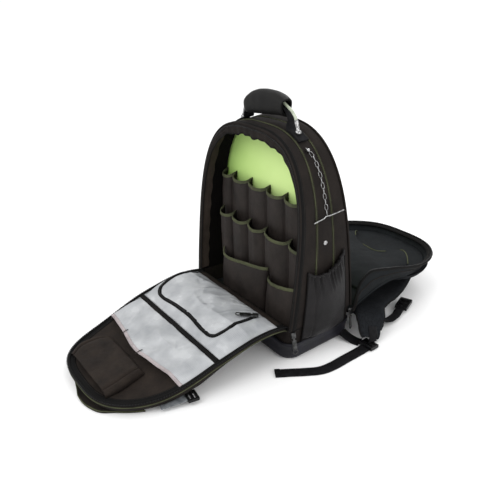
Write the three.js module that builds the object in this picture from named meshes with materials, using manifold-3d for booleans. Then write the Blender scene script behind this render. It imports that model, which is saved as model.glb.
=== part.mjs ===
// Open tool backpack standing on its moulded base: the tool door is unzipped and laid forward on the
// floor, and the padded rear cover is unzipped and laid back over the shoulder straps.
// Millimetres, +Z up, X to the right seen from the front, the tool side faces -Y.
// Origin: centre of the moulded base's underside, on the floor.
import * as THREE from "three";
import { mergeVertices } from "three/addons/utils/BufferGeometryUtils.js";
import Module from "manifold-3d";

const wasm = await Module();
wasm.setup();

// Clearance between sewn or seated neighbours.
const GAP = 0.4;

// The upright body: an arch seen from the front, tapering in depth towards its top.
const BODY_HALF_WIDTH = 176;
const BODY_BASE_HALF_WIDTH = 168;
const BODY_DEPTH = 188;
const FRONT_HEIGHT = 455;
const BACK_HEIGHT = 464;
const ARCH_START = 168;
const ARCH_POWER = 3;
const BACK_WIDTH_SHARE = 0.962;
const FRONT_LEAN = 0.078;
const BACK_LEAN = 0.146;
const BODY_WALL = 4;
const GUSSET_PUFF = 2.5;
const FRONT_SEAM_SHARE = 0.336;
const REAR_SEAM_SHARE = 0.684;

// The lower body ring, whose rim is where both covers are sewn on, and the tray under it.
const SILL_HEIGHT = 76;
const BASE_HEIGHT = 42;
const BASE_WALL = 3;
const BASE_EDGE = 12;
const CORNER_RADIUS = 34;
const CORNER_RADIUS_TOP = 9;

// The stiff divider behind the tool pockets.
const DIVIDER_FRONT_Y = -13;
const DIVIDER_THICKNESS = 6;

// Tool pockets: three layers, each one sewn in front of the last.
const POCKET_WALL = 1.8;
const POCKET_LAYER = 22;
const TOP_ROW_HEIGHT = 322;
const MIDDLE_ROW_HEIGHT = 240;
const TOP_ROW_OVERLAP = 46;
const MIDDLE_ROW_OVERLAP = 62;
const MOUTH_PEAK = 4;
const MOUTH_SAG = 6;
const LOW_LEFT_HEIGHT = 158;
const LOW_RIGHT_HEIGHT = 160;

// Side pocket with a gathered, elastic mouth.
const SIDE_POCKET_BULGE = 24;
const SIDE_POCKET_WALL = 1.8;

// The tool door, laid forward.
const DOOR_REACH = 378;
const DOOR_HALF_WIDTH = 163;
const DOOR_DEPTH = 22;
const DOOR_HINGE_STRIP = 7.6;
const DOOR_WALL = 2.5;
const VINYL_WALL = 1.2;
const VINYL_LIFT = 14;
const PATCH_POCKET_LIFT = 14;
const OUTER_POCKET_THICKNESS = 4.5;
const TRIM_WIDTH = 9;
const TRIM_THICKNESS = 1.6;
const BAND_WIDTH = 8;
const SLIP_BINDING_WIDTH = 7;
const ZIP_TAPE_WIDTH = 9;

// The rear cover, laid back.
const COVER_REACH = 362;
const COVER_HALF_WIDTH = 172;
const COVER_RISE = 100;
const COVER_HINGE_STRIP = 6;
const COVER_BOARD = 8;
const COVER_RIM_HEIGHT = 50;
const COVER_FLARE = 15;
const COVER_WALL = 3;
const SLEEVE_WALL = 1.8;
const BACK_PAD_THICKNESS = 28;

// Straps and their fittings.
const WEBBING_THICKNESS = 1.8;
const SHOULDER_WIDTH = 66;
const SHOULDER_THICKNESS = 15;
const SHOULDER_WEBBING_WIDTH = 25;
const STERNUM_WEBBING_WIDTH = 20;
const DOOR_STRAP_WIDTH = 18;
const DOOR_STRAP_HANG = 11.6;
const DOOR_BUCKLE_LENGTH = 22;
const DOOR_BUCKLE_THICKNESS = 6;
const CHEST_CLIP_LENGTH = 44;
const CHEST_CLIP_THICKNESS = 8;
const ADJUSTER_LENGTH = 24;
const ADJUSTER_THICKNESS = 7;
// How much wider a buckle is than its webbing.
const BUCKLE_MARGIN = 9;

// Carrying handle.
const HANDLE_WEBBING_WIDTH = 26;
const HANDLE_HALF_SPAN = 66;
const HANDLE_ANCHOR_X = 103;
const HANDLE_RISE = 41;
const HANDLE_TURN_DEG = 11;
const HANDLE_SWAY = -7;
const HANDLE_LEAN = 4;
const GRIP_HALF_LENGTH = 50;
const GRIP_HEIGHT = 43;
const GRIP_THICKNESS = 30;
const GRIP_WALL = 4;
const GRIP_OVER = 15.5;
const GRIP_TILT = 0.08;
const CABLE_RADIUS = 3;
const TERMINAL_X = 86;
const TERMINAL_LENGTH = 24;
const STUD_UNDER = 3;
const STUD_OVER = 4.5;

// Tape chain on the right side; its ends are given as drops below the body's crown.
const CHAIN_LINKS = 13;
const LINK_WIRE = 1.1;
const LINK_WIDTH = 6.5;
const LINK_CLEARANCE = 0.6;
// How many wires a link is longer than its part of the chain.
const LINK_HOLD = 1.6;
const RIVET_RADIUS = 3.6;
const CHAIN_TOP_DROP = 32;
const CHAIN_BOTTOM_DROP = 151;
const BAR_LENGTH = 78;
const BAR_RADIUS = 1.3;
const SNAP_RADIUS = 5;
const SNAP_HEIGHT = 3;
const SNAP_Z = 252;

// Zip sliders: the slider itself, its neck, its tab and the ring at the tab's end.
const SLIDER = { length: 12, width: 9, thickness: 5 };
const SLIDER_NECK = { length: 8, width: 4, thickness: 2.4 };
const SLIDER_TAB = { length: 22, width: 9, thickness: 3 };
const SLIDER_RING = { radius: 5, wire: 1.3 };

const lerp = (a, b, t) => a + (b - a) * t;
const clamp01 = (t) => Math.min(1, Math.max(0, t));
const vec = (x, y, z) => new THREE.Vector3(x, y, z);
const radians = THREE.MathUtils.degToRad;
const UP = vec(0, 0, 1);

// The direction of a path at one of its points.
const runAt = (path, i) =>
  path[Math.min(i + 1, path.length - 1)].clone().sub(path[Math.max(i - 1, 0)]).normalize();

// Reads a column of a table by its first column, with straight lines between the rows.
function column(table, key, by, at) {
  if (at <= table[0][by]) return table[0][key];
  for (let i = 1; i < table.length; i++) {
    const [a, b] = [table[i - 1], table[i]];
    if (at <= b[by]) return lerp(a[key], b[key], (at - a[by]) / (b[by] - a[by]));
  }
  return table[table.length - 1][key];
}

const root = new THREE.Group();

const FINISH = {
  fabric: { color: 0x1d1b1a, roughness: 0.85, metalness: 0 },
  lining: { color: 0xb9dd7c, roughness: 0.8, metalness: 0 },
  moulded: { color: 0x25262b, roughness: 0.5, metalness: 0 },
  vinyl: { color: 0xc3c7c8, roughness: 0.3, metalness: 0 },
  webbing: { color: 0x1a1a1a, roughness: 0.9, metalness: 0 },
  greyWebbing: { color: 0x8b8f93, roughness: 0.9, metalness: 0 },
  binding: { color: 0xd9cfcf, roughness: 0.8, metalness: 0 },
  plastic: { color: 0x141414, roughness: 0.45, metalness: 0 },
  steel: { color: 0xb8b8b8, roughness: 0.3, metalness: 1 },
};

function add(name, geometry, finish) {
  const mesh = new THREE.Mesh(geometry, new THREE.MeshStandardMaterial(FINISH[finish]));
  mesh.name = name;
  root.add(mesh);
}

// A closed mesh from a list of points and faces.
function closedGeometry(points, faces) {
  const position = new Float32Array(points.flatMap((p) => [p.x, p.y, p.z]));
  const made = new THREE.BufferGeometry();
  made.setAttribute("position", new THREE.BufferAttribute(position, 3));
  made.setIndex(faces);
  if (toSolid(made).volume() < 0) {
    for (let i = 0; i < faces.length; i += 3) [faces[i], faces[i + 1]] = [faces[i + 1], faces[i]];
    made.setIndex(faces);
  }
  return made;
}

function toSolid(geometry) {
  const bare = geometry.clone();
  bare.deleteAttribute("normal");
  bare.deleteAttribute("uv");
  const merged = mergeVertices(bare, 1e-4);
  return new wasm.Manifold(
    new wasm.Mesh({
      numProp: 3,
      vertProperties: new Float32Array(merged.attributes.position.array),
      triVerts: new Uint32Array(merged.index.array),
    }),
  );
}

function fromSolid(solid) {
  const mesh = solid.getMesh();
  const made = new THREE.BufferGeometry();
  made.setAttribute("position", new THREE.BufferAttribute(new Float32Array(mesh.vertProperties), 3));
  made.setIndex(new THREE.BufferAttribute(new Uint32Array(mesh.triVerts), 1));
  return made;
}

const joined = (geometries) =>
  fromSolid(geometries.map(toSolid).reduce((a, b) => a.add(b)));

// Unit normals of a grid of points; wrap joins its columns into rings.
function gridNormals(grid, wrap) {
  const rows = grid.length;
  const columns = grid[0].length;
  const last = columns - 1;
  return grid.map((row, i) =>
    row.map((_, j) => {
      const up = grid[Math.min(i + 1, rows - 1)][j].clone().sub(grid[Math.max(i - 1, 0)][j]);
      const before = wrap ? (j + last) % columns : Math.max(j - 1, 0);
      const after = wrap ? (j + 1) % columns : Math.min(j + 1, last);
      return up.cross(row[after].clone().sub(row[before])).normalize();
    }),
  );
}

// The solid between two grids of the same size. Open edges are walled; wrap joins the columns;
// a floor closes the first row of each grid with a fan.
function betweenGrids(a, b, { wrap = false, floor = false } = {}) {
  const rows = a.length;
  const columns = a[0].length;
  const points = [...a.flat(), ...b.flat()];
  const other = rows * columns;
  const at = (i, j) => i * columns + (j % columns);
  const faces = [];
  const quad = (p, q, r, s) => faces.push(p, q, r, p, r, s);
  const spans = wrap ? columns : columns - 1;
  for (let i = 0; i < rows - 1; i++)
    for (let j = 0; j < spans; j++) {
      quad(at(i, j), at(i, j + 1), at(i + 1, j + 1), at(i + 1, j));
      quad(other + at(i, j), other + at(i + 1, j), other + at(i + 1, j + 1), other + at(i, j + 1));
    }
  const end = rows - 1;
  const side = columns - 1;
  for (let j = 0; j < spans; j++) {
    quad(at(end, j), at(end, j + 1), other + at(end, j + 1), other + at(end, j));
    if (!floor) quad(at(0, j + 1), at(0, j), other + at(0, j), other + at(0, j + 1));
  }
  if (!wrap)
    for (let i = 0; i < end; i++) {
      quad(at(i, 0), at(i + 1, 0), other + at(i + 1, 0), other + at(i, 0));
      quad(at(i + 1, side), at(i, side), other + at(i, side), other + at(i + 1, side));
    }
  if (floor) {
    const centre = (row) => row.reduce((s, p) => s.add(p), vec(0, 0, 0)).divideScalar(row.length);
    points.push(centre(a[0]), centre(b[0]));
    for (let j = 0; j < spans; j++) {
      faces.push(2 * other, at(0, j + 1), at(0, j));
      faces.push(2 * other + 1, other + at(0, j), other + at(0, j + 1));
    }
  }
  return closedGeometry(points, faces);
}

// A sheet of the given thickness, grown from its grid along the grid's normals.
function sheet(grid, thickness, options = {}) {
  const normals = gridNormals(grid, options.wrap);
  const inner = grid.map((row, i) => row.map((p, j) => p.clone().addScaledVector(normals[i][j], thickness)));
  return betweenGrids(grid, inner, options);
}

// A flat strap along a path: each stop has a point, the direction of its width, and its face's normal.
function strap(stops, width, thickness) {
  const side = (share, lift) =>
    stops.map(({ at, across, face, wide = 1 }) =>
      at.clone().addScaledVector(across, share * width * wide).addScaledVector(face, lift * thickness),
    );
  const grid = (lift) => {
    const [left, right] = [side(-0.5, lift), side(0.5, lift)];
    return left.map((p, i) => [p, right[i]]);
  };
  return betweenGrids(grid(0.5), grid(-0.5));
}

// A solid along closed sections of equal point count, with flat ends.
function loft(sections) {
  const count = sections[0].length;
  const points = sections.flat();
  const faces = [];
  for (let i = 0; i < sections.length - 1; i++)
    for (let j = 0; j < count; j++) {
      const [a, b] = [i * count + j, i * count + ((j + 1) % count)];
      faces.push(a, b, b + count, a, b + count, a + count);
    }
  const last = (sections.length - 1) * count;
  for (let j = 1; j < count - 1; j++) {
    faces.push(0, j + 1, j);
    faces.push(last, last + j, last + j + 1);
  }
  return closedGeometry(points, faces);
}

// A round bar along a path.
function bar(path, radius, sides = 8) {
  const sections = path.map((p, i) => {
    const along = runAt(path, i);
    const aside = Math.abs(along.z) > 0.9 ? vec(0, 1, 0) : UP;
    const u = aside.clone().cross(along).normalize();
    const v = along.clone().cross(u);
    return Array.from({ length: sides }, (_, k) => {
      const turn = (2 * Math.PI * k) / sides;
      const [du, dv] = [radius * Math.cos(turn), radius * Math.sin(turn)];
      return p.clone().addScaledVector(u, du).addScaledVector(v, dv);
    });
  });
  return loft(sections);
}

// Half-width of the body's outline at a height, on its front (share 0) to its back (share 1).
function halfWidthAt(z, share = 0, inset = 0) {
  const widthShare = lerp(1, BACK_WIDTH_SHARE, share);
  const top = lerp(FRONT_HEIGHT, BACK_HEIGHT, share) - inset;
  const low = BODY_BASE_HALF_WIDTH * widthShare - inset;
  const full = BODY_HALF_WIDTH * widthShare - inset;
  if (z <= ARCH_START) return lerp(low, full, Math.sin(clamp01(z / ARCH_START) * Math.PI * 0.5));
  const rise = clamp01((z - ARCH_START) / (top - ARCH_START));
  return full * Math.pow(1 - Math.pow(rise, ARCH_POWER), 1 / ARCH_POWER);
}
const frontY = (z) => -BODY_DEPTH / 2 + FRONT_LEAN * z;
const backY = (z) => BODY_DEPTH / 2 - BACK_LEAN * z;
const depthShare = (y, z) => (y - frontY(z)) / (backY(z) - frontY(z));
const innerHalfWidth = (z, y, inset) => halfWidthAt(z, depthShare(y, z), inset);

// How far up the arch each station stands, as shares of the arch's rise.
const ARCH_SHARES = [0, 0.22, 0.42, 0.58, 0.71, 0.81, 0.89, 0.945, 0.98, 1];
const SIDE_STATIONS = 3;

// The outward direction of the arch, square to its outline.
function archNormal(x, z, share) {
  const full = BODY_HALF_WIDTH * lerp(1, BACK_WIDTH_SHARE, share);
  const rise = lerp(FRONT_HEIGHT, BACK_HEIGHT, share) - ARCH_START;
  const power = ARCH_POWER - 1;
  const outX = Math.sign(x) * Math.pow(Math.abs(x) / full, power) / full;
  const outZ = Math.pow(clamp01((z - ARCH_START) / rise), power) / rise;
  return vec(outX, 0, outZ).normalize();
}

// A point of the body's outer surface: side -1 or 1, rise in stations, share of the depth.
function bodyPoint(side, station, share, puff) {
  const arch = station >= SIDE_STATIONS ? ARCH_SHARES[station - SIDE_STATIONS] : 0;
  const top = lerp(FRONT_HEIGHT, BACK_HEIGHT, share);
  const start = SILL_HEIGHT + GAP;
  const z =
    station < SIDE_STATIONS
      ? lerp(start, ARCH_START, station / SIDE_STATIONS)
      : lerp(ARCH_START, top, arch);
  const x = side * halfWidthAt(z, share);
  const out = archNormal(x, z, share);
  return vec(x, lerp(frontY(z), backY(z), share), z).addScaledVector(out, puff);
}

const STATIONS = SIDE_STATIONS + ARCH_SHARES.length - 1;
const archOrder = [
  ...Array.from({ length: STATIONS + 1 }, (_, k) => [-1, k]),
  ...Array.from({ length: STATIONS }, (_, k) => [1, STATIONS - 1 - k]),
];

// One sewn strip of the body's side band, a little puffed between its seams.
function gusset(name, from, to) {
  const seam = GAP / 2 / BODY_DEPTH;
  const [near, far] = [from + (from > 0 ? seam : 0), to - (to < 1 ? seam : 0)];
  const across = [
    { share: 0, puff: 0 },
    { share: 0.5, puff: 1 },
    { share: 1, puff: 0 },
  ];
  const face = (depth) =>
    archOrder.map(([side, station]) =>
      across.map((c) => bodyPoint(side, station, lerp(near, far, c.share), c.puff * GUSSET_PUFF - depth)),
    );
  add(name, betweenGrids(face(0), face(BODY_WALL)), "fabric");
}

// A rounded rectangle round the body at a height, grown outwards by a margin.
const CORNER_STEPS = 4;
function footprint(z, grow, level = z) {
  const radius = lerp(CORNER_RADIUS, CORNER_RADIUS_TOP, clamp01(z / SILL_HEIGHT)) + grow;
  const [front, back] = [frontY(z) - grow, backY(z) + grow];
  const loop = [];
  for (const [sx, y, sy, turn] of [
    [1, front, 1, -90],
    [1, back, -1, 0],
    [-1, back, -1, 90],
    [-1, front, 1, 180],
  ])
    for (let k = 0; k <= CORNER_STEPS; k++) {
      const angle = radians(turn + (90 * k) / CORNER_STEPS);
      const centre = sx * (halfWidthAt(z, depthShare(y, z)) + grow - radius);
      const [dx, dy] = [radius * Math.cos(angle), radius * Math.sin(angle)];
      loop.push(vec(centre + dx, y + sy * radius + dy, level));
    }
  return loop;
}

function mouldedBase() {
  const skin = BASE_WALL + GAP;
  const wall = [
    { z: 0, grow: skin - BASE_EDGE },
    { z: 2.5, grow: skin - BASE_EDGE * 0.45 },
    { z: BASE_EDGE, grow: skin },
    { z: BASE_HEIGHT, grow: skin },
  ];
  const outer = wall.map((r) => footprint(Math.max(r.z, BASE_EDGE), r.grow, r.z));
  const inner = wall.map((r, i) =>
    footprint(Math.max(r.z, BASE_EDGE), r.grow - BASE_WALL, i < wall.length - 1 ? r.z + BASE_WALL : r.z),
  );
  add("moulded_base", betweenGrids(outer, inner, { wrap: true, floor: true }), "moulded");
}

function lowerBody() {
  const floorZ = BASE_WALL + GAP;
  const outer = [
    footprint(BASE_EDGE, -BASE_EDGE - 1, floorZ),
    footprint(BASE_EDGE, -BASE_EDGE * 0.5 - 1, floorZ + 3.2),
    footprint(BASE_EDGE, -0.2, BASE_EDGE + BASE_WALL + 1),
    footprint(SILL_HEIGHT / 2, 0),
    footprint(SILL_HEIGHT, 0),
  ];
  const inner = [
    footprint(BASE_EDGE, -BASE_EDGE - BODY_WALL - 1, floorZ + BODY_WALL),
    footprint(BASE_EDGE, -BASE_EDGE * 0.5 - BODY_WALL - 1, floorZ + BODY_WALL + 2),
    footprint(BASE_EDGE, -BODY_WALL, BASE_EDGE + BASE_WALL + BODY_WALL),
    footprint(SILL_HEIGHT / 2, -BODY_WALL),
    footprint(SILL_HEIGHT, -BODY_WALL),
  ];
  add("lower_body", betweenGrids(outer, inner, { wrap: true, floor: true }), "fabric");
}

// A zip's tape along one of the body's two open edges: share 0 in front, 1 behind.
function zipTape(name, share, side) {
  const line = (inset, off) =>
    archOrder.map(([hand, station]) => bodyPoint(hand, station, share, -inset).add(vec(0, side * off, 0)));
  const face = (off) => {
    const [outer, inner] = [line(GAP, off), line(ZIP_TAPE_WIDTH, off)];
    return outer.map((p, i) => [p, inner[i]]);
  };
  add(name, betweenGrids(face(GAP + TRIM_THICKNESS), face(GAP)), "fabric");
}

// The arch-shaped divider, in rows of heights that follow the body's stations.
function divider() {
  const inset = BODY_WALL + 2 * GAP;
  const bottom = BASE_EDGE + BASE_WALL + BODY_WALL + GAP;
  const top = FRONT_HEIGHT - inset;
  const rows = ARCH_SHARES.slice(0, -1).map((share) => lerp(ARCH_START, top, share));
  const face = (y) =>
    [bottom, SILL_HEIGHT, ...rows].map((z) => {
      const half = innerHalfWidth(z, y, inset);
      return [-1, 1].map((side) => vec(side * half, y, z));
    });
  const back = face(DIVIDER_FRONT_Y + DIVIDER_THICKNESS);
  add("divider_panel", betweenGrids(back, face(DIVIDER_FRONT_Y)), "lining");
}

// The bulge of one pocket across its width.
const POCKET_BULGE = [
  { across: 0, bulge: 0 },
  { across: 0.09, bulge: 0.66 },
  { across: 0.28, bulge: 0.95 },
  { across: 0.5, bulge: 1 },
  { across: 0.72, bulge: 0.95 },
  { across: 0.91, bulge: 0.66 },
];

const POCKET_REACH = POCKET_LAYER * 0.94;

// The pockets' seams from left to right, as shares of the body's inner half-width.
const TOP_SEAMS = [-0.96, -0.73, -0.36, 0.04, 0.41, 0.77, 1];
const MIDDLE_SEAMS = [-0.8, -0.525, -0.177, 0.167, 0.645, 1];
const LOW_SEAMS = [-0.64, 0.35, 0.985];
// The big pockets' place in layers, just before the front of the middle row.
const LOW_LAYER = 1.95;

// A sewn row of pockets. The fall table says how far it stands out from its seams at each height; at
// its hem the mouths sag between the seams.
function pocketRow(name, seams, layer, fall) {
  const seamY = DIVIDER_FRONT_Y - GAP - POCKET_WALL - layer * POCKET_LAYER;
  const side = (z) => innerHalfWidth(z, seamY - POCKET_LAYER, BODY_WALL + 3 * GAP);
  const columns = [];
  for (let k = 0; k < seams.length - 1; k++)
    for (const { across, bulge } of POCKET_BULGE)
      columns.push({ share: lerp(seams[k], seams[k + 1], across), bulge });
  columns.push({ share: seams[seams.length - 1], bulge: 0 });
  const grid = fall.map(({ heightAt, out, tuck = 1, hem = false }) =>
    columns.map(({ share, bulge }) => {
      const z = heightAt(share) + (hem ? lerp(MOUTH_PEAK, -MOUTH_SAG, bulge) : 0);
      return vec(share * tuck * side(z), seamY - bulge * out, z);
    }),
  );
  add(name, sheet(grid, POCKET_WALL), "fabric");
}

// The foot of a row, hidden behind the row before it: down from that row's mouth as shares of their
// overlap, and out as shares of a pocket's reach.
const HIDDEN_FOOT = [
  { down: 1, out: 0.1 },
  { down: 0.84, out: 0.6 },
  { down: 0.4, out: 0.85 },
];
function upperFall(front, mouth, overlap) {
  const foot = HIDDEN_FOOT.map((r) => ({ z: front - r.down * overlap, out: r.out }));
  const rows = [...foot, { z: (front + mouth) / 2, out: 0.95 }, { z: mouth, out: 1, hem: true }];
  return rows.map(({ z, out, hem }) => ({ heightAt: () => z, out: out * POCKET_REACH, hem }));
}

// The big pockets' mouths: how high their edges stand across them, as shares of their heights.
const LOW_LEFT_MOUTH = [
  { across: 0, height: 0.97 },
  { across: 0.05, height: 0.905 },
  { across: 0.22, height: 0.9 },
  { across: 0.53, height: 0.962 },
  { across: 1, height: 1.04 },
];
const LOW_RIGHT_MOUTH = [
  { across: 0, height: 0.912 },
  { across: 0.22, height: 0.894 },
  { across: 0.56, height: 0.931 },
  { across: 1, height: 1.012 },
];
// How the big pockets stand out, and how they tuck in towards the floor.
const LOW_FALL = [
  { up: 0, out: 0.3, tuck: 0.86 },
  { up: 0.045, out: 0.5, tuck: 0.92 },
  { up: 0.13, out: 0.85, tuck: 1 },
  { up: 0.35, out: 1.02, tuck: 1 },
  { up: 0.62, out: 1, tuck: 1 },
  { up: 1, out: 0.62, tuck: 1 },
];
function lowPocket(name, height, mouth, left, right) {
  const foot = BASE_WALL + 3 * GAP + BODY_WALL;
  const edge = (share) => height * column(mouth, "height", "across", (share - left) / (right - left));
  const fall = LOW_FALL.map(({ up, out, tuck }) => ({
    heightAt: (share) => (up < 1 ? lerp(foot, height, up) : edge(share)),
    out: out * POCKET_REACH,
    tuck,
  }));
  pocketRow(name, [left, right], LOW_LAYER, fall);
}

function toolPockets() {
  const lowTop = Math.max(LOW_LEFT_HEIGHT, LOW_RIGHT_HEIGHT);
  const topFall = upperFall(MIDDLE_ROW_HEIGHT, TOP_ROW_HEIGHT, TOP_ROW_OVERLAP);
  pocketRow("top_tool_pockets", TOP_SEAMS, 0, topFall);
  const middleFall = upperFall(lowTop, MIDDLE_ROW_HEIGHT, MIDDLE_ROW_OVERLAP);
  pocketRow("middle_tool_pockets", MIDDLE_SEAMS, 1, middleFall);
  const [left, middle, right] = LOW_SEAMS;
  const part = GAP / BODY_HALF_WIDTH;
  const leftEnd = middle - part - POCKET_WALL / BODY_HALF_WIDTH;
  lowPocket("low_left_pocket", LOW_LEFT_HEIGHT, LOW_LEFT_MOUTH, left, leftEnd);
  lowPocket("low_right_pocket", LOW_RIGHT_HEIGHT, LOW_RIGHT_MOUTH, middle + part, right);
}

// The side pocket's mouth: how high its elastic edge stands along the depth, and how the cloth bulges.
const SIDE_POCKET_SHAPE = [
  { share: 0.16, mouth: 0.95, out: 0.02 },
  { share: 0.24, mouth: 0.915, out: 0.42 },
  { share: 0.34, mouth: 0.9, out: 0.8 },
  { share: 0.46, mouth: 0.905, out: 1 },
  { share: 0.58, mouth: 0.93, out: 0.98 },
  { share: 0.7, mouth: 0.965, out: 0.8 },
  { share: 0.8, mouth: 1.01, out: 0.5 },
  { share: 0.88, mouth: 1.06, out: 0.02 },
];
const SIDE_POCKET_HEIGHT = 212;

function sidePocket() {
  const foot = BASE_HEIGHT + 1.5;
  const rise = [
    { up: 0, out: 0.05 },
    { up: 0.05, out: 0.55 },
    { up: 0.25, out: 1 },
    { up: 0.55, out: 1.05 },
    { up: 0.8, out: 0.86 },
    { up: 0.94, out: 0.5 },
    { up: 1, out: 0.42 },
  ];
  const clear = GUSSET_PUFF + SIDE_POCKET_WALL - GAP / 2;
  const grid = rise.map((r) =>
    SIDE_POCKET_SHAPE.map((c) => {
      const z = lerp(foot, SIDE_POCKET_HEIGHT * c.mouth, r.up);
      const x = halfWidthAt(z, c.share) + clear + SIDE_POCKET_BULGE * c.out * r.out;
      return vec(x, lerp(frontY(z), backY(z), c.share), z);
    }),
  );
  add("side_pocket", sheet(grid, SIDE_POCKET_WALL), "fabric");
}

// The door's side profile: reach from the hinge and height over the floor, as shares of the door's
// reach and of the hinge's height, and the depth of its pocket wall as a share of its depth.
const HINGE_HEIGHT = SILL_HEIGHT + 4;
const DOOR_PROFILE = [
  { reach: -DOOR_HINGE_STRIP / DOOR_REACH, height: 0.955, deep: 0.3 },
  { reach: 0, height: 1, deep: 0.3 },
  { reach: 0.09, height: 1.05, deep: 0.45 },
  { reach: 0.19, height: 1.03, deep: 0.55 },
  { reach: 0.28, height: 0.95, deep: 0.6 },
  { reach: 0.36, height: 0.86, deep: 0.68 },
  { reach: 0.44, height: 0.76, deep: 0.85 },
  { reach: 0.52, height: 0.63, deep: 1 },
  { reach: 0.6, height: 0.5, deep: 1 },
  { reach: 0.68, height: 0.39, deep: 0.95 },
  { reach: 0.76, height: 0.32, deep: 0.88 },
  { reach: 0.84, height: 0.285, deep: 0.82 },
  { reach: 0.91, height: 0.27, deep: 0.78 },
  { reach: 0.955, height: 0.262, deep: 0.72 },
  { reach: 0.985, height: 0.258, deep: 0.6 },
  { reach: 1, height: 0.256, deep: 0.35 },
];
const DOOR_LIP = 0.12;
const doorTop = FRONT_HEIGHT - SILL_HEIGHT;
const doorHingeY = frontY(SILL_HEIGHT) - GAP - DOOR_HINGE_STRIP;
// The door repeats the outline of the opening that it closes.
function doorHalfWidth(reach, inset = 0) {
  const z = SILL_HEIGHT + (reach + inset / DOOR_REACH) * doorTop;
  const half = halfWidthAt(Math.min(z, FRONT_HEIGHT - 1.2)) / BODY_HALF_WIDTH;
  return half * DOOR_HALF_WIDTH - inset;
}
const doorHeight = (reach) => HINGE_HEIGHT * column(DOOR_PROFILE, "height", "reach", reach);
function doorNormal(reach) {
  const step = 0.03;
  const slope = (doorHeight(reach + step) - doorHeight(reach - step)) / (2 * step * DOOR_REACH);
  return vec(0, slope, 1).normalize();
}
function doorPoint(x, reach, lift) {
  return vec(x, doorHingeY - reach * DOOR_REACH, doorHeight(reach)).addScaledVector(doorNormal(reach), lift);
}

function door() {
  const inset = DOOR_WALL + 2 * GAP;
  const last = 1 - inset / DOOR_REACH;
  const lining = DOOR_PROFILE.map(({ reach }) =>
    [-1, -0.5, 0, 0.5, 1].map((s) => doorPoint(s * doorHalfWidth(reach * last, inset), reach * last, 0)),
  );
  add("door_lining", sheet(lining, -DOOR_WALL), "fabric");
  const across = [
    { side: -1, deep: -DOOR_LIP },
    { side: -1, deep: 0.5 },
    { side: -0.97, deep: 0.86 },
    { side: -0.85, deep: 1 },
    { side: 0, deep: 1 },
    { side: 0.85, deep: 1 },
    { side: 0.97, deep: 0.86 },
    { side: 1, deep: 0.5 },
    { side: 1, deep: -DOOR_LIP },
  ];
  const shell = DOOR_PROFILE.map((r) =>
    across.map((c) => {
      const deep = c.deep > 0 ? Math.max(c.deep * r.deep, 2 * DOOR_LIP) : -DOOR_LIP;
      return doorPoint(c.side * doorHalfWidth(r.reach), r.reach, -deep * DOOR_DEPTH);
    }),
  );
  const tip = doorHalfWidth(1);
  shell.push(across.map((c) => doorPoint(c.side * tip, 1.004, DOOR_LIP * DOOR_DEPTH)));
  add("door_shell", sheet(shell, DOOR_WALL * 0.8), "fabric");
}

// Places on the door, as shares of its reach and of its half-width.
const BAND_REACH = 0.42;
const VINYL_START = 0.035;
const VINYL_EDGE = 0.955;
const liftOverLining = 2 * GAP + VINYL_WALL;
// The slip pocket's mouth sags towards the door's round end. Both vinyl pockets stand up from the
// left edge at once and slope down to the right edge.
const SLIP_MOUTH = [
  { across: -1, reach: 0.612, lift: 0 },
  { across: -0.93, reach: 0.613, lift: 1 },
  { across: -0.5, reach: 0.628, lift: 1 },
  { across: 0, reach: 0.655, lift: 1 },
  { across: 0.5, reach: 0.635, lift: 1 },
  { across: 0.8, reach: 0.618, lift: 1 },
  { across: 1, reach: 0.611, lift: 0 },
];

// A sheet lying on the door between two reaches, each given for a place across it.
function doorSheet(from, to, sections, lift) {
  return Array.from({ length: sections + 1 }, (_, i) => {
    const along = i / sections;
    return SLIP_MOUTH.map(({ across: s }) => {
      const reach = lerp(from, to(s), along);
      return doorPoint(s * VINYL_EDGE * doorHalfWidth(reach), reach, liftOverLining + lift(along, s));
    });
  });
}

const crown = (s) => column(SLIP_MOUTH, "lift", "across", s);
const slipLift = (along, s) => VINYL_LIFT * crown(s) * Math.sqrt(along);
const BAND_SHARE = (BAND_WIDTH / 2 + 4 * GAP) / DOOR_REACH;
// The window pocket swells between its two ends.
const windowSwell = (along) => VINYL_LIFT * Math.pow(Math.sin(Math.PI * clamp01(along)), 0.6);

// Stops of a trim strip across the door, lying square to its surface.
function stripOnDoor(reachAt, liftAt) {
  return SLIP_MOUTH.map(({ across: s }) => {
    const reach = reachAt(s);
    const face = doorNormal(reach);
    const x = s * VINYL_EDGE * doorHalfWidth(reach);
    return { at: doorPoint(x, reach, liftAt(s)), across: vec(1, 0, 0).cross(face).normalize(), face };
  });
}

function vinylPockets() {
  const swell = (along, s) => crown(s) * windowSwell(along);
  const closed = doorSheet(VINYL_START, () => BAND_REACH - BAND_SHARE, 8, swell);
  add("window_pocket", sheet(closed, -VINYL_WALL), "vinyl");
  const mouth = (s) => column(SLIP_MOUTH, "reach", "across", s);
  const slip = doorSheet(BAND_REACH + BAND_SHARE, mouth, 6, slipLift);
  add("slip_pocket", sheet(slip, -VINYL_WALL), "vinyl");
  const band = stripOnDoor(() => BAND_REACH, () => 1.5 * GAP + TRIM_THICKNESS / 2);
  add("door_band", strap(band, BAND_WIDTH, TRIM_THICKNESS), "fabric");
  const beyond = (SLIP_BINDING_WIDTH / 2 + 2 * GAP) / DOOR_REACH;
  const edge = stripOnDoor((s) => mouth(s) + beyond, (s) => liftOverLining + slipLift(1, s));
  add("slip_binding", strap(edge, SLIP_BINDING_WIDTH, TRIM_THICKNESS), "binding");
}

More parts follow.
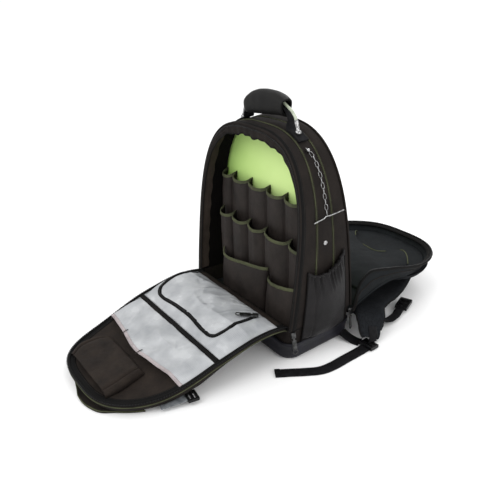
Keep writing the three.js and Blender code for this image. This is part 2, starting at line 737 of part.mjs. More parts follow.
// The zip round the window: places across and along the door in shares.
const WINDOW_ZIP = [
  { across: -0.83, reach: 0.06 },
  { across: -0.86, reach: 0.13 },
  { across: -0.86, reach: 0.22 },
  { across: -0.82, reach: 0.3 },
  { across: -0.74, reach: 0.34 },
  { across: -0.6, reach: 0.352 },
  { across: -0.25, reach: 0.343 },
  { across: 0.1, reach: 0.34 },
  { across: 0.42, reach: 0.352 },
  { across: 0.6, reach: 0.346 },
  { across: 0.67, reach: 0.31 },
  { across: 0.69, reach: 0.2 },
  { across: 0.7, reach: 0.1 },
];
// The zip clears the pocket's highest place under its width.
function windowZipLift(reach) {
  const span = BAND_REACH - BAND_SHARE - VINYL_START;
  const along = (reach - VINYL_START) / span;
  const half = TRIM_WIDTH / 2 / (span * DOOR_REACH);
  const swell = Math.max(windowSwell(along - half), windowSwell(along), windowSwell(along + half));
  return liftOverLining + swell + TRIM_THICKNESS / 2 + 3.5 * GAP;
}

function windowZip() {
  const places = WINDOW_ZIP.map(({ across, reach }) =>
    doorPoint(across * doorHalfWidth(reach), reach, windowZipLift(reach)),
  );
  const stops = places.map((at, i) => {
    const face = doorNormal(WINDOW_ZIP[i].reach);
    return { at, across: face.clone().cross(runAt(places, i)).normalize(), face };
  });
  add("window_zip", strap(stops, TRIM_WIDTH, TRIM_THICKNESS), "fabric");
}

// The bellows pocket near the door's round end, open towards that end.
const PATCH_SHAPE = [
  { reach: 0.71, lift: 0.08, left: -0.52, right: 0.4 },
  { reach: 0.724, lift: 0.8, left: -0.58, right: 0.41 },
  { reach: 0.79, lift: 1, left: -0.66, right: 0.44 },
  { reach: 0.87, lift: 0.95, left: -0.66, right: 0.48 },
  { reach: 0.94, lift: 0.75, left: -0.54, right: 0.49 },
];
function patchPocket() {
  const across = [
    { s: -1, lift: 0 },
    { s: -0.985, lift: 0.35 },
    { s: -0.9, lift: 0.62 },
    { s: 0, lift: 0.85 },
    { s: 0.9, lift: 1 },
    { s: 0.985, lift: 0.5 },
    { s: 1, lift: 0 },
  ];
  const grid = PATCH_SHAPE.map((r) =>
    across.map((c) => {
      const x = lerp(r.left, r.right, (c.s + 1) / 2) * DOOR_HALF_WIDTH;
      return doorPoint(x, r.reach, 2 * GAP + POCKET_WALL + PATCH_POCKET_LIFT * c.lift * r.lift);
    }),
  );
  add("patch_pocket", sheet(grid, -POCKET_WALL), "fabric");
}

// How far along the door its outline reaches at a place across it.
function doorReachAt(x) {
  let [low, high] = [0.3, 1];
  for (let i = 0; i < 24; i++) {
    const middle = (low + high) / 2;
    if (doorHalfWidth(middle) > Math.abs(x)) low = middle;
    else high = middle;
  }
  return low;
}

// The flat outer pocket between the door and the floor; it has slumped past the round end on one side.
const OUTER_POCKET = [
  { across: -0.8, past: -0.04, thick: 0.8 },
  { across: -0.5, past: -0.03, thick: 0.8 },
  { across: -0.2, past: -0.012, thick: 0.9 },
  { across: 0, past: 0.008, thick: 1 },
  { across: 0.1, past: 0.021, thick: 1 },
  { across: 0.25, past: 0.026, thick: 1 },
  { across: 0.39, past: 0.023, thick: 1 },
  { across: 0.53, past: 0.014, thick: 1 },
  { across: 0.62, past: -0.015, thick: 0.9 },
  { across: 0.8, past: -0.04, thick: 0.8 },
];
const OUTER_POCKET_START = 0.8;
// The height of the door's underside.
function underDoor(reach) {
  return doorHeight(reach) - DOOR_DEPTH * column(DOOR_PROFILE, "deep", "reach", reach) - 2 * GAP;
}
function outerPocket() {
  const ends = OUTER_POCKET.map((c) => doorReachAt(c.across * DOOR_HALF_WIDTH) + c.past);
  const rows = [0, 0.25, 0.55, 0.82, 1];
  const level = (height) =>
    rows.map((along) =>
      OUTER_POCKET.map((c, j) => {
        const reach = lerp(OUTER_POCKET_START, ends[j], along);
        const y = doorHingeY - reach * DOOR_REACH;
        return vec(c.across * DOOR_HALF_WIDTH, y, height(Math.min(reach, 0.97), c));
      }),
    );
  const top = level((reach, c) => Math.min(OUTER_POCKET_THICKNESS, underDoor(reach)) * c.thick);
  add("door_outer_pocket", betweenGrids(top, level(() => 0.75 * GAP)), "fabric");
}

// A two-slot buckle round a webbing's end: a plate with two windows cut through it.
function ladderLock(end, along, webbing, length, thickness) {
  const width = webbing + BUCKLE_MARGIN;
  const plate = toSolid(new THREE.BoxGeometry(length, width, thickness));
  const slot = new THREE.BoxGeometry(length * 0.2, width * 0.74, thickness * 3);
  const cut = [-0.2, 0.2].map((s) => toSolid(slot.clone().translate(s * length, 0, 0)));
  const across = UP.clone().cross(along).normalize();
  const at = end.clone().addScaledVector(along, length / 2 + GAP);
  const turn = new THREE.Matrix4().makeBasis(along, across, along.clone().cross(across)).setPosition(at);
  return fromSolid(plate.subtract(cut[0]).subtract(cut[1])).applyMatrix4(turn);
}

// Stops of a webbing that lies as flat as its path allows.
const flatStops = (places) =>
  places.map((at, i) => {
    const run = runAt(places, i);
    const across = UP.clone().cross(run).normalize();
    return { at, across, face: run.clone().cross(across).normalize() };
  });

// The two compression straps sewn under the door's sides, each with a buckle on its short end: out
// as a share of the door's half-width, and along as a share of its reach.
const DOOR_STRAP_PATH = [
  { out: 0.872, reach: 0.735 },
  { out: 0.92, reach: 0.66 },
  { out: 0.94, reach: 0.606 },
];
function doorStrap(name, side) {
  const places = DOOR_STRAP_PATH.map(({ out, reach }) => {
    const z = Math.min(underDoor(reach) + 2.5 * GAP, DOOR_STRAP_HANG);
    return vec(side * out * DOOR_HALF_WIDTH, doorHingeY - reach * DOOR_REACH, z);
  });
  const webbing = strap(flatStops(places), DOOR_STRAP_WIDTH, WEBBING_THICKNESS);
  add(`door_strap_${name}`, webbing, "greyWebbing");
  const [end, run] = [places[2], runAt(places, 2)];
  const buckle = ladderLock(end, run, DOOR_STRAP_WIDTH, DOOR_BUCKLE_LENGTH, DOOR_BUCKLE_THICKNESS);
  add(`door_buckle_${name}`, buckle, "plastic");
}

// The rear cover's side profile: reach from its hinge and rise over the sill, and the height of its
// side wall, as shares of the cover's reach, rise and rim.
const COVER_HINGE_SHARE = 0.6;
const COVER_PROFILE = [
  { reach: -COVER_HINGE_STRIP / COVER_REACH, height: COVER_HINGE_SHARE, rim: 0.05, flare: 0 },
  { reach: 0, height: 0.62, rim: 0.06, flare: 0 },
  { reach: 0.03, height: 0.75, rim: 0.8, flare: 0 },
  { reach: 0.07, height: 0.83, rim: 1, flare: 0 },
  { reach: 0.12, height: 0.9, rim: 1.05, flare: 0 },
  { reach: 0.2, height: 0.98, rim: 0.82, flare: 0.1 },
  { reach: 0.28, height: 1, rim: 0.64, flare: 0.3 },
  { reach: 0.38, height: 0.98, rim: 0.52, flare: 0.6 },
  { reach: 0.5, height: 0.9, rim: 0.44, flare: 0.85 },
  { reach: 0.62, height: 0.83, rim: 0.38, flare: 1 },
  { reach: 0.74, height: 0.79, rim: 0.36, flare: 1 },
  { reach: 0.84, height: 0.77, rim: 0.35, flare: 1 },
  { reach: 0.92, height: 0.77, rim: 0.34, flare: 1 },
  { reach: 0.97, height: 0.78, rim: 0.33, flare: 1 },
  { reach: 1, height: 0.79, rim: 0.32, flare: 1 },
];
const coverFlare = (reach) => COVER_FLARE * column(COVER_PROFILE, "flare", "reach", reach);
const coverHingeY = backY(COVER_HINGE_SHARE * COVER_RISE - COVER_BOARD) + GAP + COVER_HINGE_STRIP;
function coverHalfWidth(reach, inset = 0) {
  const z = SILL_HEIGHT + (reach + inset / COVER_REACH) * (BACK_HEIGHT - SILL_HEIGHT);
  const half = halfWidthAt(Math.min(z, BACK_HEIGHT - 1.2), 1);
  return (half / (BODY_HALF_WIDTH * BACK_WIDTH_SHARE)) * COVER_HALF_WIDTH - inset;
}
function coverPoint(x, reach, lift) {
  const height = COVER_RISE * column(COVER_PROFILE, "height", "reach", reach);
  return vec(x, coverHingeY + reach * COVER_REACH, height + lift);
}

function rearCover() {
  const seat = 1.5 * GAP;
  const board = COVER_PROFILE.map(({ reach }) => {
    const inset = seat + coverFlare(reach);
    const at = reach * (1 - (seat + COVER_FLARE) / COVER_REACH);
    return [-1, -0.5, 0, 0.5, 1].map((s) => coverPoint(s * coverHalfWidth(at, inset), at, 0));
  });
  const under = board.map((row) => row.map((p) => p.clone().add(vec(0, 0, -COVER_BOARD))));
  add("cover_board", betweenGrids(board, under), "fabric");
  const rim = [];
  const foot = -COVER_BOARD;
  const order = [
    ...COVER_PROFILE.map((r) => [-1, r]),
    ...[...COVER_PROFILE].reverse().map((r) => [1, r]),
  ];
  for (const [side, r] of order) {
    const line = (lift, flare) => {
      const inset = flare * coverFlare(r.reach);
      const at = r.reach * (1 - (flare * COVER_FLARE) / COVER_REACH);
      return coverPoint(side * coverHalfWidth(at, inset), at, lift);
    };
    rim.push([line(foot, 1), line(0, 1), line(COVER_RIM_HEIGHT * r.rim, 0)]);
  }
  add("cover_rim", sheet(rim, -COVER_WALL), "fabric");
}

// The document sleeve on the cover, with its scooped mouth: reach of the mouth across the cover.
const SLEEVE_MOUTH = [
  { across: -0.9, reach: 0.8 },
  { across: -0.6, reach: 0.71 },
  { across: -0.3, reach: 0.63 },
  { across: 0, reach: 0.585 },
  { across: 0.28, reach: 0.575 },
  { across: 0.42, reach: 0.66 },
  { across: 0.55, reach: 0.76 },
  { across: 0.72, reach: 0.735 },
  { across: 0.9, reach: 0.65 },
];
const SLEEVE_LIFT = 10;
function sleeve() {
  const rise = [0, 0.06, 0.3, 0.55, 0.8, 1];
  const grid = rise.map((up) =>
    SLEEVE_MOUTH.map(({ across, reach: mouth }) => {
      const reach = lerp(0.1, mouth, up);
      const edge = Math.abs(across) > 0.85 ? 0.1 : 1;
      const belly = up === 0 ? 0.05 : Math.pow(up, 0.4);
      const half = coverHalfWidth(reach, 2 * COVER_WALL + coverFlare(reach));
      return coverPoint(across * half, reach, 3 * GAP + SLEEVE_WALL + SLEEVE_LIFT * edge * belly);
    }),
  );
  add("document_sleeve", sheet(grid, -SLEEVE_WALL), "fabric");
}

// The padding under the cover's board: its half-width at each reach leaves room for the straps.
const PAD_SHAPE = [
  { reach: 0.12, half: 0.45, thick: 0.35 },
  { reach: 0.2, half: 0.52, thick: 0.85 },
  { reach: 0.28, half: 0.58, thick: 1 },
  { reach: 0.38, half: 0.7, thick: 1 },
  { reach: 0.5, half: 0.88, thick: 1 },
  { reach: 0.62, half: 0.92, thick: 1 },
  { reach: 0.74, half: 0.94, thick: 0.95 },
  { reach: 0.84, half: 0.95, thick: 0.8 },
  { reach: 0.92, half: 0.93, thick: 0.6 },
  { reach: 0.97, half: 0.85, thick: 0.35 },
];
function backPad() {
  const across = [
    { s: -1, thick: 0.35 },
    { s: -0.9, thick: 0.85 },
    { s: -0.45, thick: 1 },
    { s: 0, thick: 0.9 },
    { s: 0.45, thick: 1 },
    { s: 0.9, thick: 0.85 },
    { s: 1, thick: 0.35 },
  ];
  const top = PAD_SHAPE.map((r) =>
    across.map((c) => coverPoint(c.s * r.half * coverHalfWidth(r.reach), r.reach, -COVER_BOARD - 3 * GAP)),
  );
  const bottom = PAD_SHAPE.map((r, i) =>
    across.map((c, j) => top[i][j].clone().add(vec(0, 0, -BACK_PAD_THICKNESS * Math.min(r.thick, c.thick)))),
  );
  add("back_pad", betweenGrids(top, bottom), "fabric");
}

// Places of the straps: out from the middle as a share of the body's half-width, back from the
// cover's hinge as a share of the cover's reach, and up as a share of the cover's rise.
const strapPlace = (side, { out, back, up }) =>
  vec(side * out * BODY_HALF_WIDTH, coverHingeY + back * COVER_REACH, up * COVER_RISE);

// A shoulder strap's middle line, from its sewn end under the cover to the floor beside the body.
// Turn is the angle of its breadth about Z, in degrees from +X.
const SHOULDER_PATH = [
  { out: 0.352, back: 0.829, up: 0.37, turn: 14, wide: 0.82 },
  { out: 0.477, back: 0.691, up: 0.315, turn: 20, wide: 0.95 },
  { out: 0.614, back: 0.541, up: 0.3, turn: 24, wide: 1 },
  { out: 0.739, back: 0.392, up: 0.35, turn: 28, wide: 1 },
  { out: 0.835, back: 0.271, up: 0.44, turn: 36, wide: 1 },
  { out: 0.92, back: 0.171, up: 0.48, turn: 50, wide: 1 },
  { out: 1.023, back: 0.11, up: 0.51, turn: 72, wide: 1 },
  { out: 1.114, back: 0.072, up: 0.49, turn: 86, wide: 1 },
  { out: 1.182, back: 0.044, up: 0.39, turn: 90, wide: 1 },
  { out: 1.222, back: 0.028, up: 0.28, turn: 90, wide: 0.92 },
  { out: 1.25, back: 0.024, up: 0.19, turn: 90, wide: 0.72 },
  { out: 1.262, back: 0.018, up: 0.14, turn: 90, wide: 0.6 },
];

function shoulderStop(side, row) {
  const angle = radians(row.turn);
  const across = vec(Math.cos(angle), side * Math.sin(angle), 0);
  return { at: strapPlace(side, row), across, wide: row.wide };
}

function shoulderStrap(name, side) {
  const stops = SHOULDER_PATH.map((row) => shoulderStop(side, row));
  const places = stops.map((stop) => stop.at);
  stops.forEach((stop, i) => {
    const along = runAt(places, i);
    stop.across.addScaledVector(along, -stop.across.dot(along)).normalize();
    stop.face = along.clone().cross(stop.across).normalize();
  });
  const ring = [
    [-0.5, 0],
    [-0.44, 0.34],
    [-0.25, 0.5],
    [0.25, 0.5],
    [0.44, 0.34],
    [0.5, 0],
    [0.44, -0.34],
    [0.25, -0.5],
    [-0.25, -0.5],
    [-0.44, -0.34],
  ];
  const sections = stops.map(({ at, across, face, wide }) =>
    ring.map(([w, t]) => {
      const aside = at.clone().addScaledVector(across, w * SHOULDER_WIDTH * wide);
      return aside.addScaledVector(face, t * SHOULDER_THICKNESS);
    }),
  );
  add(`shoulder_strap_${name}`, loft(sections), "fabric");
}

// The adjuster under each shoulder strap, and its webbing's loose tail on the floor.
const LOCK_PLACE = { out: 1.291, back: 0.0177, up: 0.05 };
const TAIL_PATH = [
  { out: 1.301, back: -0.0515, up: 0.026 },
  { out: 1.307, back: -0.105, up: 0.014 },
  { out: 1.318, back: -0.221, up: 0.014 },
  { out: 1.33, back: -0.331, up: 0.014 },
  { out: 1.307, back: -0.414, up: 0.014 },
  { out: 1.216, back: -0.497, up: 0.014 },
  { out: 1.125, back: -0.569, up: 0.014 },
  { out: 1.045, back: -0.635, up: 0.014 },
];
// The short webbing from the base's rear corner to the adjuster.
const ANCHOR_PATH = [
  { out: 0.954, back: -0.077, up: 0.15 },
  { out: 1.034, back: -0.066, up: 0.08 },
  { out: 1.114, back: -0.05, up: 0.03 },
  { out: 1.185, back: -0.036, up: 0.024 },
];
function strapTail(name, side) {
  const along = vec(side * 0.06, -1, 0).normalize();
  const lock = strapPlace(side, LOCK_PLACE);
  const frame = ladderLock(lock, along, SHOULDER_WEBBING_WIDTH, ADJUSTER_LENGTH, ADJUSTER_THICKNESS);
  add(`strap_adjuster_${name}`, frame, "plastic");
  const tail = flatStops(TAIL_PATH.map((p) => strapPlace(side, p)));
  add(`strap_webbing_${name}`, strap(tail, SHOULDER_WEBBING_WIDTH, WEBBING_THICKNESS), "webbing");
  const anchor = ANCHOR_PATH.map((p) => strapPlace(side, p));
  const run = anchor[anchor.length - 1].clone().sub(anchor[0]).normalize();
  const across = vec(0, 1, 0).addScaledVector(run, -run.y).normalize();
  const stops = anchor.map((at) => ({ at, across, face: run.clone().cross(across).normalize() }));
  add(`strap_anchor_${name}`, strap(stops, SHOULDER_WEBBING_WIDTH, WEBBING_THICKNESS), "webbing");
}

// Half of the chest strap: from under its shoulder strap in a loop on the floor to its half of the
// clip.
const CHEST_PATH = [
  { out: 0.9545, back: 0.147, up: 0.392 },
  { out: 1.011, back: 0.1773, up: 0.383 },
  { out: 1.06, back: 0.209, up: 0.2 },
  { out: 1.085, back: 0.267, up: 0.1 },
  { out: 1.06, back: 0.35, up: 0.09 },
  { out: 1.02, back: 0.4, up: 0.1 },
  { out: 0.985, back: 0.443, up: 0.105 },
];
function chestStrap(name, side) {
  const places = CHEST_PATH.map((p) => strapPlace(side, p));
  const webbing = strap(flatStops(places), STERNUM_WEBBING_WIDTH, WEBBING_THICKNESS);
  add(`chest_webbing_${name}`, webbing, "webbing");
  const last = places.length - 1;
  const [end, run] = [places[last], runAt(places, last)];
  const clip = ladderLock(end, run, STERNUM_WEBBING_WIDTH, CHEST_CLIP_LENGTH, CHEST_CLIP_THICKNESS);
  add(`chest_clip_${name}`, clip, "plastic");
}

// The handle's webbing: over the body's crown, then up and over in one bow.
const crownShare = (FRONT_SEAM_SHARE + REAR_SEAM_SHARE) / 2;
function crownZ(x) {
  const full = BODY_HALF_WIDTH * lerp(1, BACK_WIDTH_SHARE, crownShare);
  const top = lerp(FRONT_HEIGHT, BACK_HEIGHT, crownShare);
  const side = clamp01(Math.abs(x) / full);
  return ARCH_START + (top - ARCH_START) * Math.pow(1 - Math.pow(side, ARCH_POWER), 1 / ARCH_POWER);
}
const crownY = (x) => {
  const z = crownZ(x);
  return lerp(frontY(z), backY(z), crownShare);
};
const crownLift = GUSSET_PUFF + WEBBING_THICKNESS / 2 + 2 * GAP;
// How the crown rises from front to back.
const crownSlope = (BACK_HEIGHT - FRONT_HEIGHT) / (backY(BACK_HEIGHT) - frontY(FRONT_HEIGHT));
// A point over the crown, lifted square to it.
function crownPoint(x, lift) {
  const z = crownZ(x);
  const out = archNormal(x, z, crownShare);
  out.y = -crownSlope * out.z;
  return vec(x, crownY(x), z).addScaledVector(out.normalize(), lift);
}
// The bow is a dome that droops more on its left than on its right.
const BOW_LEFT = { power: 2, root: 0.62 };
const BOW_RIGHT = { power: 3, root: 0.5 };
function bowHeight(x) {
  const share = clamp01(Math.abs(x) / HANDLE_HALF_SPAN);
  const { power, root: flat } = x < 0 ? BOW_LEFT : BOW_RIGHT;
  return HANDLE_RISE * Math.pow(1 - Math.pow(share, power), flat);
}
const turnSlope = Math.tan(radians(HANDLE_TURN_DEG));
// The webbing's stations: lying on the crown as shares of its anchor's place, and along the bow as
// shares of its half span.
const LYING = [1, 0.89, 0.77, 0.68];
const BOW = [0.985, 0.95, 0.85, 0.7, 0.4, 0];
// The webbing's breadth where it is folded together inside the grip, as a share of its width.
const FOLDED = 0.6;
// The bow turns about Z, and sways to one side and to the front as it rises.
function bowPoint(x, extra = 0) {
  const rise = bowHeight(x) / HANDLE_RISE;
  const turned = Math.pow(rise, 0.5);
  return vec(
    x + HANDLE_SWAY * rise,
    crownY(0) - HANDLE_LEAN * rise + turnSlope * x * turned,
    crownZ(x) + crownLift + bowHeight(x) + extra,
  );
}
function handle() {
  const lying = LYING.map((share) => crownPoint(share * HANDLE_ANCHOR_X, crownLift));
  const bow = BOW.map((share) => share * HANDLE_HALF_SPAN);
  const path = [
    ...lying.map((p) => vec(-p.x, p.y, p.z)),
    ...bow.map((x) => bowPoint(-x)),
    ...bow.slice(0, -1).reverse().map((x) => bowPoint(x)),
    ...[...lying].reverse(),
  ];
  const turn = radians(HANDLE_TURN_DEG);
  const stops = path.map((at, i) => {
    const run = runAt(path, i);
    const up = clamp01((at.z - crownZ(at.x) - crownLift) / HANDLE_RISE);
    const aside = vec(-Math.sin(turn * up), Math.cos(turn * up), crownSlope * (1 - up));
    const across = aside.addScaledVector(run, -aside.dot(run)).normalize();
    const inGrip = Math.abs(at.x - HANDLE_SWAY) < GRIP_HALF_LENGTH * 1.2 && up > 0.2;
    return { at, across, face: run.clone().cross(across).normalize(), wide: inGrip ? FOLDED : 1 };
  });
  add("handle_webbing", strap(stops, HANDLE_WEBBING_WIDTH, WEBBING_THICKNESS), "webbing");
}

// The padded wrap folded round the webbing and the cable, open at both ends.
function grip() {
  const turn = radians(HANDLE_TURN_DEG);
  const across = vec(-Math.sin(turn), Math.cos(turn), 0);
  const ring = [
    [0, 1],
    [0.36, 0.93],
    [0.5, 0.72],
    [0.48, 0.4],
    [0.36, 0.1],
    [0.14, 0],
    [-0.14, 0],
    [-0.36, 0.1],
    [-0.48, 0.4],
    [-0.5, 0.72],
    [-0.36, 0.93],
  ];
  const section = (x, shrink) => {
    const middle = bowPoint(x);
    const foot = bowPoint(0).z + GRIP_OVER - GRIP_HEIGHT + GRIP_TILT * x;
    const height = middle.z + GRIP_OVER - foot - 2 * shrink;
    const width = GRIP_THICKNESS - 2 * shrink;
    return ring.map(([w, h]) => {
      const at = vec(middle.x, middle.y, foot + shrink + h * height);
      return at.addScaledVector(across, w * width);
    });
  };
  const places = [-1, -0.9, -0.6, -0.2, 0.2, 0.6, 0.9, 1].map((s) => s * GRIP_HALF_LENGTH);
  const outer = places.map((x) => section(x, 0));
  const inner = places.map((x) => section(x, GRIP_WALL));
  add("handle_grip", betweenGrids(outer, inner, { wrap: true }), "fabric");
}

// How the cable's ends lean from upright, towards the middle and backwards, for each unit of height.
const FERRULE_LEAN = { in: 0.42, back: 0.039 };

// The sheathed steel cable: from one terminal through the grip to the other.
function cable() {
  const over = WEBBING_THICKNESS / 2 + CABLE_RADIUS + 5 * GAP;
  const seat = crownLift + WEBBING_THICKNESS / 2 + GAP;
  const ends = [1, -1].map((side) => {
    const foot = crownPoint(side * TERMINAL_X, seat + STUD_UNDER);
    const stud = [seat, seat + STUD_UNDER + STUD_OVER].map((lift) => crownPoint(side * TERMINAL_X, lift));
    const lean = vec(-side * FERRULE_LEAN.in, side * FERRULE_LEAN.back, 1).normalize();
    const start = foot.clone().addScaledVector(lean, TERMINAL_LENGTH + 2 * GAP);
    const high = bowPoint(side * 0.76 * HANDLE_HALF_SPAN, over);
    const low = start.clone().addScaledVector(lean, CABLE_RADIUS * 1.6);
    const middle = low.clone().lerp(high, 0.5).add(vec(side * 2, 0, 1.5));
    return { foot, stud, lean, half: [start, low, middle, high] };
  });
  const [right, left] = ends.map((e) => e.half);
  const bow = [-0.6, -0.4, -0.2, 0, 0.2, 0.4, 0.6].map((share) => bowPoint(share * HANDLE_HALF_SPAN, over));
  const path = [...left, ...bow, ...[...right].reverse()];
  add("handle_cable", bar(path, CABLE_RADIUS, 8), "steel");
  ends.forEach(({ foot, stud, lean }, i) => {
    const tip = foot.clone().addScaledVector(lean, TERMINAL_LENGTH);
    const ferrule = bar([foot, tip], CABLE_RADIUS * 1.35, 10);
    const terminal = joined([ferrule, bar(stud, CABLE_RADIUS * 2.1, 12)]);
    add(`cable_terminal_${i ? "left" : "right"}`, terminal, "steel");
  });
}

// A point on the right side of the centre strip, standing off the surface.
function sidePoint(z, share, off) {
  const x = halfWidthAt(z, share);
  const dz = 1.5;
  const slope = (halfWidthAt(z + dz, share) - halfWidthAt(z - dz, share)) / (2 * dz);
  const out = vec(1, 0, -slope).normalize();
  return { at: vec(x, lerp(frontY(z), backY(z), share), z).addScaledVector(out, GUSSET_PUFF + off), out };
}

// One long link: a round wire bent into a stadium, as a ring of short bars.
function link(centre, along, flat, length) {
  const sides = 5;
  const steps = 10;
  const straight = (length - LINK_WIDTH) / 2;
  const radius = LINK_WIDTH / 2 - LINK_WIRE / 2;
  const aside = along.clone().cross(flat).normalize();
  const rings = Array.from({ length: steps }, (_, k) => {
    const turn = (2 * Math.PI * (k + 0.5)) / steps;
    const end = Math.sign(Math.cos(turn)) * straight;
    const out = along.clone().multiplyScalar(Math.cos(turn)).addScaledVector(aside, Math.sin(turn));
    const at = centre.clone().addScaledVector(along, end).addScaledVector(out, radius);
    return Array.from({ length: sides }, (_, s) => {
      const roll = (2 * Math.PI * s) / sides;
      return at
        .clone()
        .addScaledVector(out, (LINK_WIRE / 2) * Math.cos(roll))
        .addScaledVector(flat, (LINK_WIRE / 2) * Math.sin(roll));
    });
  });
  const points = rings.flat();
  const faces = [];
  for (let i = 0; i < steps; i++)
    for (let j = 0; j < sides; j++) {
      const [a, b] = [i * sides + j, i * sides + ((j + 1) % sides)];
      const [c, d] = [((i + 1) % steps) * sides + j, ((i + 1) % steps) * sides + ((j + 1) % sides)];
      faces.push(a, b, d, a, d, c);
    }
  return closedGeometry(points, faces);
}

// Twisted links down the side, each one threaded through the next, joined as one body.
const CHAIN_LINE = [
  { down: 0, share: 0.43 },
  { down: 0.1, share: 0.5 },
  { down: 0.25, share: 0.52 },
  { down: 0.7, share: 0.525 },
  { down: 1, share: 0.535 },
];
const chainShare = (down) => column(CHAIN_LINE, "share", "down", down);
const chainOff = LINK_WIDTH / 2 + LINK_CLEARANCE;
function chainHeight(down) {
  const crownTop = lerp(FRONT_HEIGHT, BACK_HEIGHT, chainShare(down));
  return crownTop - lerp(CHAIN_TOP_DROP, CHAIN_BOTTOM_DROP, down);
}
function tapeChain() {
  const count = 200;
  const line = Array.from({ length: count + 1 }, (_, k) =>
    sidePoint(chainHeight(k / count), chainShare(k / count), chainOff),
  );
  const reached = [0];
  for (let k = 1; k <= count; k++) reached.push(reached[k - 1] + line[k].at.distanceTo(line[k - 1].at));
  const total = reached[count];
  const place = (d) => line[Math.min(count, reached.findIndex((r) => r >= Math.min(d, total - 0.01)))];
  const pitch = total / CHAIN_LINKS;
  // Taut links bear on each other where their places meet, so each one reaches past both of its ends.
  const links = Array.from({ length: CHAIN_LINKS }, (_, k) => {
    const [here, next] = [place(k * pitch), place((k + 1) * pitch)];
    const along = next.at.clone().sub(here.at);
    const length = along.length() + LINK_HOLD * LINK_WIRE;
    along.normalize();
    const across = along.clone().cross(here.out).normalize();
    const roll = radians(k % 2 ? 50 : -40);
    const flat = here.out.clone().multiplyScalar(Math.cos(roll)).addScaledVector(across, Math.sin(roll));
    flat.addScaledVector(along, -flat.dot(along)).normalize();
    return link(here.at.clone().lerp(next.at, 0.5), along, flat, length);
  });
  // The rivet that carries the chain goes through its first link, down to the centre strip.
  const head = place(LINK_WIDTH / 2);
  const sunk = chainOff + GUSSET_PUFF / 8;
  const rivet = [-sunk, LINK_WIDTH / 2].map((d) => head.at.clone().addScaledVector(head.out, d));
  add("tape_chain", joined([...links, bar(rivet, RIVET_RADIUS, 10)]), "steel");
}

// The tape bar's bends, along it and up from the chain's end, as shares of its length.
const BAR_BENDS = [
  { along: -0.43, up: -0.09 },
  { along: -0.1, up: -0.026 },
  { along: -0.04, up: 0.013 },
  { along: 0.04, up: 0.013 },
  { along: 0.1, up: 0.0065 },
  { along: 0.57, up: 0.051 },
];

// The bent wire bar that holds rolls of tape, and the snap stud under it.
function tapeBar() {
  const z = chainHeight(1) - 2 * BAR_RADIUS - LINK_WIRE;
  const middle = sidePoint(z, chainShare(1), chainOff);
  const path = BAR_BENDS.map((p) => middle.at.clone().add(vec(0, p.along, p.up).multiplyScalar(BAR_LENGTH)));
  add("tape_bar", bar(path, BAR_RADIUS, 8), "steel");
  const snap = sidePoint(SNAP_Z, 0.5, -GAP / 2);
  const head = snap.at.clone().addScaledVector(snap.out, SNAP_HEIGHT);
  add("snap_stud", bar([snap.at, head], SNAP_RADIUS, 12), "steel");
}

// A zip slider with its pull: a slider body, a neck and a flat tab with a ring at its end.
function zipSlider(name, at, along, face) {
  const across = face.clone().cross(along).normalize();
  const turn = new THREE.Matrix4().makeBasis(along, across, along.clone().cross(across)).setPosition(at);
  const plate = ({ length, width, thickness }, start, lift) =>
    new THREE.BoxGeometry(length, width, thickness).translate(start + length / 2, 0, lift);
  const slider = plate(SLIDER, -SLIDER.length / 2, 0);
  const neck = plate(SLIDER_NECK, SLIDER_NECK.length / 2, 1);
  const tabStart = SLIDER_NECK.length + 2;
  const tab = plate(SLIDER_TAB, tabStart, 1);
  const ring = new THREE.TorusGeometry(SLIDER_RING.radius, SLIDER_RING.wire, 6, 12);
  ring.translate(tabStart + SLIDER_TAB.length + SLIDER_RING.radius - SLIDER_RING.wire, 0, 1);
  add(name, joined([slider, neck, tab, ring]).applyMatrix4(turn), "steel");
}

// Where the body's two sliders have stopped: down from the sill, out from the side, and back from
// the edge; where their pulls hang and which way they face.
const FRONT_SLIDER = { down: 8, out: 3.3, back: 4, hang: vec(0.22, 0, -1), face: vec(0.94, -0.34, 0) };
const REAR_SLIDER = { down: 14, out: 5, back: -4, hang: vec(0.1, 0.02, -1), face: vec(0.9, 0.4, 0) };
const WINDOW_PULL = vec(-0.55, -0.82, 0.1);

function bodySlider(name, share, { down, out, back, hang, face }) {
  const z = SILL_HEIGHT - down;
  const y = lerp(frontY(z), backY(z), share) + back;
  const at = vec(halfWidthAt(z, share) + out, y, z);
  zipSlider(name, at, hang.clone().normalize(), face.clone().normalize());
}

function zipSliders() {
  bodySlider("front_zip_slider", 0, FRONT_SLIDER);
  bodySlider("rear_zip_slider", 1, REAR_SLIDER);
  const { across, reach } = WINDOW_ZIP[WINDOW_ZIP.length - 1];
  const ride = windowZipLift(reach) + TRIM_THICKNESS / 2 + GAP + SLIDER.thickness / 2;
  const window = doorPoint(across * doorHalfWidth(reach), reach, ride);
  zipSlider("window_zip_slider", window, WINDOW_PULL.clone().normalize(), UP);
}

mouldedBase();
lowerBody();
gusset("front_gusset", 0, FRONT_SEAM_SHARE);
gusset("centre_gusset", FRONT_SEAM_SHARE, REAR_SEAM_SHARE);
gusset("rear_gusset", REAR_SEAM_SHARE, 1);
zipTape("front_zip_tape", 0, -1);
zipTape("rear_zip_tape", 1, 1);
divider();
toolPockets();
sidePocket();
door();
vinylPockets();
windowZip();
patchPocket();
outerPocket();
rearCover();
sleeve();
backPad();
for (const [name, side] of [
  ["right", 1],
  ["left", -1],
]) {
  doorStrap(name, side);
  shoulderStrap(name, side);
  strapTail(name, side);
  chestStrap(name, side);
}
handle();
grip();
cable();
tapeChain();
tapeBar();
zipSliders();

export default root;
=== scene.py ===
"""Open tool backpack, dressed round its fixed frame: cloth, vinyl, webbing, padding, steel and trim."""

import math

import bpy
from mathutils import Matrix, Vector, noise


